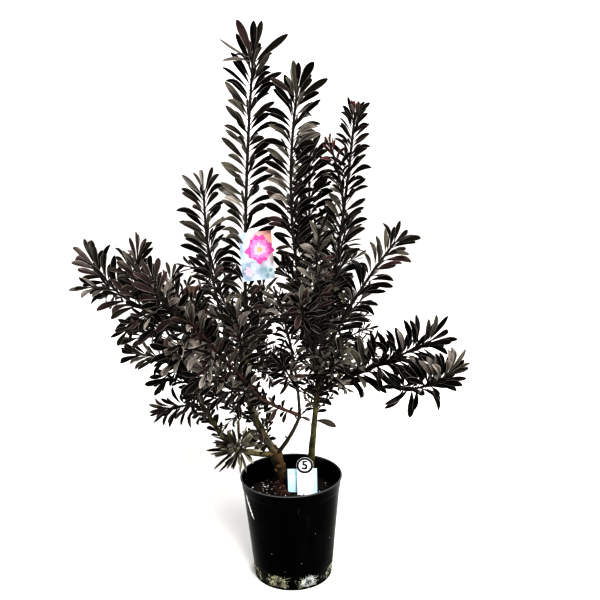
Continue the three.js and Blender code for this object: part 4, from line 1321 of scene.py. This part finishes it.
def spray_stems(limb, row, mass, chance):
    """Short twigs that stand off a main stem all round, with smaller leaves."""
    sprays = row.get("sprays", 0)
    count, first, last, size = (
        sprays if isinstance(sprays, tuple) else (sprays, SPRAY["first"], SPRAY["last"], 1.0))
    opening = math.radians(SPRAY["open"])
    found = []
    for i in range(count):
        share = first + (last - first) * (i + chance.random()) / count
        point, direction, side, other = limb.frame(share)
        away = round_stem(side, other, (i + 0.4) * GOLDEN_TURN + chance.uniform(*SPRAY["turn"]))
        heading = round_stem(direction, away, opening)
        length = SPRAY["length"] * MM * size * chance.uniform(*SPRAY["vary"])
        leaf = max(pair(row["leaf"])) * SPRAY["leaf"] * size
        breadth = row.get("breadth", 1.0) * (1.9 - 0.9 * size)
        spray = dict(
            thick=SPRAY["thick"], leaf=(leaf * SPRAY["foot_leaf"], leaf), tone=row["tone"],
            spacing=0.4 + 0.6 * size, breadth=breadth)
        line = Limb(point, point + heading * length, -away * length * SPRAY["bow"])
        found.append(stem_of(line, spray, mass, SPRAY["young"]))
    return found


def grow_stems(limbs):
    """Stems of all masses: the main one, its side twigs and its short sprays."""
    stems = []
    for index, (name, row) in enumerate(SHOOTS.items()):
        stems.append(stem_of(limbs[name], row, name))
        for side in row.get("sides", ()):
            line = Limb(limbs[name].point(side["at"]), in_metres(side["tip"]), in_metres(side["bow"]))
            stems.append(stem_of(line, {"tone": row["tone"], "thick": row["thick"] * 0.8, **side}, name, 0.4))
        stems += spray_stems(limbs[name], row, name, random.Random(101 + 37 * index))
    for index, (name, row) in enumerate(BOUGH_LEAVES.items()):
        stems += spray_stems(limbs[name], row, None, random.Random(11 + 17 * index))
    return stems


def past(value, key):
    """How far a value lies past a limit of LIGHT, from 0 to 1."""
    limit, width = LIGHT[key]
    return float(smooth_step((value - limit) / width))


def light_at(middle, along, direction):
    """Where a leaf's light comes from: from outside, and from the front but for the rear of the crown. It
    comes from the side for a leaf that points to the front or the back of an upright stem."""
    out = middle - PLANT_AXIS
    rear = past(out.y, "rear")
    out.z = 0
    light = out / max(LIGHT["core"], 2 * out.length)
    light += Vector((LIGHT["side"], -LIGHT["front"] * (1 - rear), LIGHT["top"]))
    from_side = Vector((math.copysign(LIGHT["front"], along.x), 0, LIGHT["top"]))
    return light.lerp(from_side, past(abs(along.y), "outward") * past(direction.z, "upright"))


def facing_light(along, face, light):
    """How far a leaf turns on its stalk to face the light, with either side."""
    turn = math.atan2(-light.dot(face.cross(along)), light.dot(face))
    return turn - math.copysign(math.pi, turn) if abs(turn) > math.pi / 2 else turn


def young_tint(young, stem):
    """The tint of a new leaf: the innermost are orange. None for a full-grown one."""
    if young > stem.red_tip - stem.orange_tip:
        return "young_orange"
    return "young_red" if young else None


def leaves_of(stem, chance, settings):
    """Where the leaves of a stem stand: in a spiral, opening less and less towards the tip."""
    habit = stem.habit
    leafy = stem.limb.length * (stem.last - stem.first)
    count = max(1, round(leafy / (settings.spacing * stem.spacing)))
    found = []
    tints, left_in_spray = [None, None], [0, 0]
    for i in range(count):
        share = 1 - (1 - (i + 0.5) / count) ** stem.crowding
        point, direction, side, other = stem.limb.frame(stem.first + (stem.last - stem.first) * share)
        away = round_stem(side, other, i * GOLDEN_TURN + math.radians(chance.uniform(*VARIED["turn"])))
        away.y *= settings.flatness
        away = (away - direction * away.dot(direction)).normalized()
        open_share = min(1.0, leafy * (1 - share) / stem.closing)
        opening = stem.open * (habit["tip"] + (habit["foot"] - habit["tip"]) * open_share**0.8)
        young = max(0, i + 1 - count + stem.red_tip)
        youth = young / stem.red_tip if young else 0
        opening *= 1 - NEW_LEAF["close"] * youth
        opening = math.radians(opening + chance.uniform(-1, 1) * habit["jitter"])
        along = round_stem(direction, away, opening)
        along = (along + Vector((0, 0, stem.lift))).normalized()
        face = away.cross(direction).cross(along).normalized()
        length = stem.leaf[0] + (stem.leaf[1] - stem.leaf[0]) * share
        grown = GROWTH["foot"] + (1 - GROWTH["foot"]) * min(1.0, share / GROWTH["grown"])
        length *= settings.length * (grown - GROWTH["tip"] * share) * chance.uniform(*VARIED["length"])
        if young:
            length *= NEW_LEAF["length"] - NEW_LEAF["shrink"] * youth
        light = light_at(point + along * length * LIT, along, direction)
        # Tints are dealt by side: paler on the left as painted light, darker on the right as painted shade
        right = int(away.x > 0)
        if left_in_spray[right] == 0:
            tints[right] = chance.choices(FULL_GROWN, TONES[stem.tones[right]])[0]
            left_in_spray[right] = chance.randint(*VARIED["spray"])
        left_in_spray[right] -= 1
        found.append(dict(
            root=point + away * stem.thick * 0.25, along=along, face=face, stem=stem, length=length,
            width=settings.width * stem.breadth * chance.uniform(*VARIED["width"]),
            twist=facing_light(along, face, light) * chance.uniform(*VARIED["follow"])
            + chance.gauss(0, TWIST_SPREAD),
            curl=stem.curl + chance.uniform(*VARIED["curl"]), shade=chance.uniform(*VARIED["shade"]),
            rise=direction * chance.uniform(*VARIED["rise"]),
            arch=direction * chance.uniform(*VARIED["arch"]),
            tint=young_tint(young, stem) or tints[right],
        ))
    return found


def stray_leaves(limbs):
    """The single leaves, as the same records as those of the stems."""
    chance = random.Random(5)
    found = []
    for grows, at, toward, leaf, tint, *more in STRAYS:
        width, rise = more + [STRAY_LEAF["width"], chance.uniform(*STRAY_LEAF["rise"])][len(more):]
        stem = stem_of(limbs[grows], dict(thick=STRAY_LEAF["thick"], leaf=leaf, tone="dark"))
        point, direction, _, _ = stem.limb.frame(at)
        along = Vector(toward).normalized()
        face = direction.cross(along).cross(along).normalized()
        length = leaf * MM
        light = light_at(point + along * length, along, along)
        found.append(dict(
            root=point, along=along, face=face, stem=stem, length=length, width=width,
            twist=facing_light(along, face, light), curl=STRAY_LEAF["curl"], shade=1.0,
            rise=direction * rise, arch=direction * STRAY_LEAF["arch"], tint=tint,
        ))
    return found


class Obstacles:
    """Stems, tag and pot, which leaves keep clear of."""

    def __init__(self, limbs, stems):
        lines = [(limbs[name], max(row["thick"]) * MM / 2) for name, row in BOUGHS.items()]
        lines += [(stem.limb, stem.thick / 2) for stem in stems]
        self.tree = kdtree.KDTree(sum(len(limb.points) for limb, _ in lines))
        self.near = []
        self.widest = max(radius for _, radius in lines) + CLEAR
        for limb, radius in lines:
            for point in limb.points:
                self.tree.insert(point, len(self.near))
                self.near.append((radius * CLEAR_SHARE + CLEAR, limb))
        self.tree.balance()
        self.to_tag = tag_place().inverted()

    def hits(self, leaf):
        for share in LEAF_PROBES:
            point = leaf["root"] + leaf["along"] * leaf["length"] * share
            for _, index, distance in self.tree.find_range(point, self.widest):
                radius, owner = self.near[index]
                if owner is not leaf["stem"].limb and distance < radius:
                    return True
            if self.in_tag(point) or self.in_pot(point):
                return True
        return False

    def in_tag(self, point):
        """Near the tag, or in front of its print."""
        x, y, z = self.to_tag @ point / MM
        past_edge = max(abs(x) - TAG["width"] / 2, abs(y) - TAG["height"] / 2)
        return past_edge < TAG_ZONE["beside"] and -TAG_ZONE["behind"] < z < TAG_ZONE["front"]

    def in_pot(self, point):
        in_wall = POT_ZONE["inner"] < math.hypot(point.x, point.y) / MM < POT_ZONE["outer"]
        return point.z / MM < (POT_ZONE["top"] if in_wall else POT_ZONE["mix"])


def leaf_arrays(leaves, settings):
    """All leaves at once: rows of four points from stalk to tip, left, top, right and bottom."""
    root, along, face, rise, arch, length, width, twist, curl = (
        np.array([leaf[key] for leaf in leaves], float)
        for key in ("root", "along", "face", "rise", "arch", "length", "width", "twist", "curl"))
    side = np.cross(face, along)
    half = (length * width / 2)[:, None]
    rows = []
    for place, share in LEAF_OUTLINE:
        turn = (twist * float(smooth_step(place / TURNED)))[:, None]
        up = face * np.cos(turn) - side * np.sin(turn)
        across = np.cross(along, up)
        centre = root + along * (length * place)[:, None] + up * (length * curl * place**2)[:, None]
        centre += rise * (length * place**2)[:, None] + arch * (length * 4 * place * (1 - place))[:, None]
        edge = half * share
        raised = up * edge * math.tan(settings.fold)
        thick = up * (settings.thickness / 2 * (1.0 - THINNER * place))
        left, right = centre - across * edge + raised, centre + across * edge + raised
        rows += [left, centre + thick, right, centre - thick]
    return np.stack(rows, axis=1)


def leaf_faces():
    """Faces of one leaf, and the blade coordinates of their corners. The underside lies past u = 1."""
    faces, corners = [], []
    columns = ((0, 1, 0.0, 0.5), (1, 2, 0.5, 1.0), (2, 3, 2.0, 1.5), (3, 0, 1.5, 1.0))
    last = 4 * (len(LEAF_OUTLINE) - 1)
    for start, (low, _), (high, _) in zip(range(0, last, 4), LEAF_OUTLINE, LEAF_OUTLINE[1:]):
        for a, b, u_a, u_b in columns:
            faces.append([start + a, start + b, start + 4 + b, start + 4 + a])
            corners.append([(u_a, low), (u_b, low), (u_b, high), (u_a, high)])
    faces += [[2, 1, 0, 3], [last + 2, last + 3, last, last + 1]]
    return faces, corners + [[(0.5, 0.0)] * 4, [(0.5, 1.0)] * 4]


def build_leaves(leaves, tint, settings):
    chosen = [leaf for leaf in leaves if leaf["tint"] == tint]
    points = leaf_arrays(chosen, settings)
    faces, corners = leaf_faces()
    per_leaf = points.shape[1]
    every_face = [[i + k * per_leaf for i in face] for k in range(len(chosen)) for face in faces]
    obj = object_from_arrays(points.reshape(-1, 3), every_face)
    blade = np.array([uv for face in corners for uv in face], np.float32)
    layer = obj.data.uv_layers.new(name="blade")
    layer.data.foreach_set("uv", np.tile(blade, (len(chosen), 1)).ravel())
    point_attribute(obj, "shade", np.repeat([leaf["shade"] for leaf in chosen], per_leaf))
    masses = sorted({leaf["stem"].mass for leaf in chosen if leaf["stem"].mass})
    look = leaf_look(tint, tuple(getattr(settings, tint)), TINTS[tint])
    finish_piece(obj, f"leaves_{tint}", look, "foliage", *masses, smooth=24)


def build_twigs(stems, settings):
    """Stems with a few sides, swollen a little at every other ring, joined in one piece."""
    vertices, faces, ages = [], [], []
    for stem in stems:
        steps = max(4, round(stem.limb.length / TWIG["step"] / MM))
        rings = []
        for i in range(steps + 1):
            share = i / steps
            point, _, side, other = stem.limb.frame(share)
            radius = stem.thick / 2 * (TWIG["foot"] - TWIG["taper"] * share)
            rings.append((point, side, other, radius * (1.0 if i % 2 else TWIG["narrow"])))
            ages += [min(1.0, stem.young + share)] * TWIG["sides"]
        add_tube(vertices, faces, rings, TWIG["sides"])
    obj = object_from_arrays(vertices, faces)
    point_attribute(obj, "age", ages)
    finish_piece(obj, "twigs", twig_look(settings), "foliage", *SHOOTS, smooth=70)


def build_foliage(leaf_settings, stem_settings):
    limbs = all_limbs()
    stems = grow_stems(limbs)
    build_twigs(stems, stem_settings)
    obstacles = Obstacles(limbs, stems)
    for name, row in BOUGH_LEAVES.items():
        stems.append(stem_of(limbs[name], {"thick": BOUGHS[name]["thick"][1], **row}))
    leaves = []
    for index, stem in enumerate(stems):
        grown = leaves_of(stem, random.Random(7 + 13 * index), leaf_settings)
        leaves += [leaf for leaf in grown if not obstacles.hits(leaf)]
    leaves += stray_leaves(limbs)
    for tint in TINTS:
        build_leaves(leaves, tint, leaf_settings)


# Labels and tag, in millimetres and degrees

RING_LABEL = dict(width=31, head=16.5, top=256, foot=140, x=27, y=-32, thickness=0.9)
RING = dict(radius=13.9, line=2.3, flat=0.1)
DIGIT = dict(size=24, offset=0.9, extrude=0.1)
PLAIN_LABEL = dict(width=57, top=230, foot=140, x=22, y=-25, thickness=0.8, band=13)
TAG = dict(width=61, height=91, thickness=0.8, corner=3, centre=(-53, 2, 643), turn=3, yaw=12)
TAG_LOOP = dict(height=682, inner=3.8, wall=1.4, width=5)
BLOOM, BUD, SPRIG = (6, 12), (-17, -28), (18, -31)
# The card's print: ink, and rings of petals with their number, place, length, turn and lift off the card
PRINT = {
    "magenta": ((0.46, 0.09, 0.28), [(13, BLOOM, 29, 0.2, 0)]),
    "rose": ((0.62, 0.20, 0.40), [(11, BLOOM, 22, 0.5, 0.2)]),
    "blush": ((0.70, 0.38, 0.50), [(9, BLOOM, 14, 0.1, 0.4), (6, BUD, 11, 0.3, 0)]),
    "straw": ((0.60, 0.30, 0.14), [(9, BLOOM, 6, 0.0, 0.6)]),
    "sage": ((0.20, 0.30, 0.30), [(3, SPRIG, 14, 0.9, 0)]),
}
# Petals: half their width, how far out they are widest, how much shorter each of three in turn is, how far
# the first stands off the card and each over the one before it
PETAL = dict(steps=12, half=0.26, fullest=1.4, shorter=0.12, raised=0.06, over=0.01, thickness=0.05)


def sizes_of(row):
    """The sizes of a row, in metres."""
    return SimpleNamespace(**{key: value * MM for key, value in row.items()})


def build_ring_label(settings):
    sizes = sizes_of(RING_LABEL)
    middle = sizes.top - sizes.head
    label = arched_plate(sizes.width / 2, sizes.head, 1, middle, sizes.foot, sizes.thickness)
    round_edges(label)
    set_place(label, location=(sizes.x, sizes.y, 0))
    white = label_look("white_label", settings.white)
    finish_piece(label, "ring_label_plate", white, "white_label", "ring_label", smooth=40)

    centre = (sizes.x, sizes.y - sizes.thickness / 2, middle)
    ring = added(
        bpy.ops.mesh.primitive_torus_add, major_radius=RING["radius"] * MM, minor_radius=RING["line"] * MM,
        major_segments=72, minor_segments=8, location=centre, rotation=UPRIGHT_TURN)
    set_place(ring, (1, 1, RING["flat"]))
    text = added(bpy.ops.object.text_add, location=centre, rotation=UPRIGHT_TURN).data
    text.body = str(settings.number)
    text.size, text.offset, text.extrude = (DIGIT[key] * MM for key in ("size", "offset", "extrude"))
    text.align_x = text.align_y = "CENTER"
    bpy.ops.object.convert(target="MESH")
    digit = bpy.context.object
    set_place(digit)
    ink = ink_look("black_ink", (0.012, 0.012, 0.013))
    finish_piece(join_pieces([ring, digit]), "ring_label_print", ink, "white_label", smooth=40)


def build_plain_label(settings):
    sizes = sizes_of(PLAIN_LABEL)
    label = added(bpy.ops.mesh.primitive_plane_add, size=1, rotation=UPRIGHT_TURN)
    place = (sizes.x, sizes.y, (sizes.top + sizes.foot) / 2)
    set_place(label, (sizes.width, sizes.top - sizes.foot, 1), place)
    apply_modifier(label, "SOLIDIFY", thickness=sizes.thickness, offset=0)
    round_edges(label)
    turn_faces_out(label)
    look = label_look("blue_label", settings.blue, scaled(settings.blue, 0.8), sizes.top - sizes.band)
    finish_piece(label, "plain_label_plate", look, "blue_label", "plain_label", smooth=40)


def tag_place():
    """The tag's own frame: x along its width, y up its height, and z out of its printed face."""
    turns = ((TAG["yaw"], "Z"), (90, "X"), (TAG["turn"], "Z"))
    yaw, upright, turn = (Matrix.Rotation(math.radians(degrees), 4, axis) for degrees, axis in turns)
    return Matrix.Translation(in_metres(TAG["centre"])) @ yaw @ upright @ turn


def build_card():
    """The tag's card, with rounded corners."""
    card = added(bpy.ops.mesh.primitive_plane_add, size=1)
    set_place(card, (TAG["width"] * MM, TAG["height"] * MM, 1))
    with editing(card):
        bpy.ops.mesh.bevel(offset=TAG["corner"] * MM, segments=6, affect="VERTICES")
    apply_modifier(card, "SOLIDIFY", thickness=TAG["thickness"] * MM, offset=0)
    round_edges(card, 0.00015)
    turn_faces_out(card)
    card.data.transform(tag_place())
    return card


def build_loop(stem):
    """The loop that holds the tag on its stem."""
    sizes = sizes_of(TAG_LOOP)
    share = float(np.interp(sizes.height, stem.points[:, 2], stem.reach)) / stem.length
    point, direction, _, _ = stem.frame(share)
    loop = added(
        bpy.ops.mesh.primitive_cylinder_add, vertices=40, radius=sizes.inner + sizes.wall, depth=sizes.width,
        end_fill_type="NOTHING")
    apply_modifier(loop, "SOLIDIFY", thickness=sizes.wall, offset=-1)
    round_edges(loop)
    turn_faces_out(loop)
    loop.data.transform(Matrix.Translation(point) @ direction.to_track_quat("Z", "Y").to_matrix().to_4x4())
    return loop


def petal_template():
    """A flat petal one unit long from the origin along +Y, as points and faces."""
    heights = [i / PETAL["steps"] for i in range(1, PETAL["steps"])]
    right = [(PETAL["half"] * math.sin(math.pi * y ** PETAL["fullest"]), y, 0.0) for y in heights]
    left = [(-x, y, z) for x, y, z in reversed(right)]
    points = [(0, 0, 0), *right, (0, 1, 0), *left]
    return np.array(points, float), [list(range(len(points)))]


def petals(count, place, length, spin, lift):
    """Matrices for a ring of flat petals round a place on the card."""
    found = []
    for i in range(count):
        turn = Matrix.Rotation(spin + i / count * math.tau, 4, "Z")
        stretch = Matrix.Diagonal((length * MM, length * MM * (1 - PETAL["shorter"] * (i % 3)), 1, 1))
        height = TAG["thickness"] / 2 + PETAL["raised"] + lift + PETAL["over"] * i
        found.append(Matrix.Translation(in_metres((*place, height))) @ turn @ stretch)
    return found


def build_tag(limbs):
    tag = join_pieces([build_card(), build_loop(limbs["tall_shoot"])])
    finish_piece(tag, "picture_card", card_look(), "printed_tag", "picture_tag", smooth=40)
    for name, (ink, rings) in PRINT.items():
        places = [tag_place() @ matrix for ring in rings for matrix in petals(*ring)]
        obj = scatter(petal_template(), places)
        apply_modifier(obj, "SOLIDIFY", thickness=PETAL["thickness"] * MM, offset=1)
        finish_piece(obj, f"tag_print_{name}", ink_look(f"print_{name}", ink, 0.25), "printed_tag")


# Stage

LIGHTS = {
    "streak_light": ("AREA", (-1.5, -0.5, 0.5), dict(energy=9, size=0.5)),
    "rim_light": ("AREA", (0.8, 1.6, 1.9), dict(energy=26, size=1.2)),
}
KEY_LIGHT = dict(place=(0.9, -1.9, 2.3), angle=28)
LIGHT_TARGET = Vector((0, 0, 0.5))
CAMERA_PLACE = (0.025, -1.502, 0.905)


def build_stage(settings):
    scene = bpy.context.scene
    scene.view_settings.view_transform = "Standard"
    scene.view_settings.look = "Very High Contrast"
    floor = added(bpy.ops.mesh.primitive_plane_add, size=60)
    floor.name = "floor"
    look = Look("pale_floor", 0.75, scaled(settings.floor, 0.985))
    look.over(look.patches(1.3, 3, 0.3, 0.7), settings.floor)
    look.feed(look.shader.inputs["Base Color"], look.paint)
    floor.data.materials.append(look.material)

    world = bpy.data.worlds.new("studio")
    world.use_nodes = True
    scene.world = world
    tree = world.node_tree
    background = tree.nodes["Background"]
    path = tree.nodes.new("ShaderNodeLightPath")
    strength = tree.nodes.new("ShaderNodeMix")
    strength.inputs[2].default_value = settings.ambient
    strength.inputs[3].default_value = settings.backdrop
    tree.links.new(path.outputs["Is Camera Ray"], strength.inputs[0])
    tree.links.new(strength.outputs[0], background.inputs["Strength"])
    background.inputs["Color"].default_value = (1, 1, 1, 1)

    sun = dict(energy=settings.sun, angle=math.radians(KEY_LIGHT["angle"]))
    add_light("key_light", "SUN", KEY_LIGHT["place"], sun)
    for name, light in LIGHTS.items():
        add_light(name, *light)

    camera = added(bpy.ops.object.camera_add, location=CAMERA_PLACE)
    tilt = Matrix.Rotation(math.radians(90) - settings.pitch, 3, "X")
    camera.rotation_euler = (tilt @ Matrix.Rotation(-settings.roll, 3, "Z")).to_euler()
    camera.data.lens = settings.lens
    camera.data.sensor_width = 36
    scene.camera = camera


def add_light(name, kind, place, values):
    """A light that looks at the middle of the plant."""
    light = added(bpy.ops.object.light_add, type=kind, location=place)
    light.name = name
    for key, value in values.items():
        setattr(light.data, key, value)
    light.rotation_euler = (LIGHT_TARGET - Vector(place)).to_track_quat("-Z", "Y").to_euler()


# Operators


class LEUCADENDRON_OT_pot(bpy.types.Operator):
    """Builds the nursery pot with its drain holes and the mineral crust round them"""

    bl_idname = "leucadendron.pot"
    bl_label = "Nursery pot"

    def execute(self, context):
        build_pot(context.scene.plant_pot)
        build_crust(context.scene.plant_pot)
        return {"FINISHED"}


class LEUCADENDRON_OT_potting_mix(bpy.types.Operator):
    """Builds the potting mix, its bark chips and perlite, and the roots in the drain holes"""

    bl_idname = "leucadendron.potting_mix"
    bl_label = "Potting mix"

    def execute(self, context):
        build_mix(context.scene.plant_pot)
        build_crumbs(context.scene.plant_pot)
        build_roots(context.scene.plant_pot)
        return {"FINISHED"}


class LEUCADENDRON_OT_boughs(bpy.types.Operator):
    """Builds the trunk and boughs with the relief of their bark"""

    bl_idname = "leucadendron.boughs"
    bl_label = "Trunk and boughs"

    def execute(self, context):
        build_boughs(context.scene.plant_stems, all_limbs())
        return {"FINISHED"}


class LEUCADENDRON_OT_foliage(bpy.types.Operator):
    """Grows the twigs and leaves of every mass of foliage"""

    bl_idname = "leucadendron.foliage"
    bl_label = "Twigs and leaves"

    def execute(self, context):
        build_foliage(context.scene.plant_leaves, context.scene.plant_stems)
        return {"FINISHED"}


class LEUCADENDRON_OT_labels(bpy.types.Operator):
    """Builds the two labels that stand in the mix"""

    bl_idname = "leucadendron.labels"
    bl_label = "Labels"

    def execute(self, context):
        build_ring_label(context.scene.plant_labels)
        build_plain_label(context.scene.plant_labels)
        return {"FINISHED"}


class LEUCADENDRON_OT_tag(bpy.types.Operator):
    """Builds the picture tag that hangs on the tallest shoot"""

    bl_idname = "leucadendron.tag"
    bl_label = "Picture tag"

    def execute(self, context):
        build_tag(all_limbs())
        return {"FINISHED"}


class LEUCADENDRON_OT_stage(bpy.types.Operator):
    """Sets the floor, the soft studio light and the camera"""

    bl_idname = "leucadendron.stage"
    bl_label = "Stage"

    def execute(self, context):
        build_stage(context.scene.plant_stage)
        return {"FINISHED"}


class LEUCADENDRON_PT_panel(bpy.types.Panel):
    """Lists the steps that build the plant"""

    bl_idname = "LEUCADENDRON_PT_panel"
    bl_label = "Potted leucadendron"
    bl_space_type = "VIEW_3D"
    bl_region_type = "UI"
    bl_category = "Plant"

    def draw(self, context):
        for step in STEPS:
            self.layout.operator(step.bl_idname)


STEPS = (
    LEUCADENDRON_OT_stage,
    LEUCADENDRON_OT_pot,
    LEUCADENDRON_OT_potting_mix,
    LEUCADENDRON_OT_boughs,
    LEUCADENDRON_OT_foliage,
    LEUCADENDRON_OT_labels,
    LEUCADENDRON_OT_tag,
)
SETTINGS = {
    "plant_leaves": LeafSettings,
    "plant_stems": StemSettings,
    "plant_pot": PotSettings,
    "plant_labels": LabelSettings,
    "plant_stage": StageSettings,
}
CLASSES = (*SETTINGS.values(), *STEPS, LEUCADENDRON_PT_panel)


def register():
    for item in CLASSES:
        bpy.utils.register_class(item)
    for name, group in SETTINGS.items():
        setattr(bpy.types.Scene, name, PointerProperty(type=group))


def unregister():
    for name in SETTINGS:
        delattr(bpy.types.Scene, name)
    for item in reversed(CLASSES):
        bpy.utils.unregister_class(item)


def main():
    register()
    bpy.ops.leucadendron.stage()
    bpy.ops.leucadendron.pot()
    bpy.ops.leucadendron.potting_mix()
    bpy.ops.leucadendron.boughs()
    bpy.ops.leucadendron.foliage()
    bpy.ops.leucadendron.labels()
    bpy.ops.leucadendron.tag()


if __name__ == "__main__":
    main()
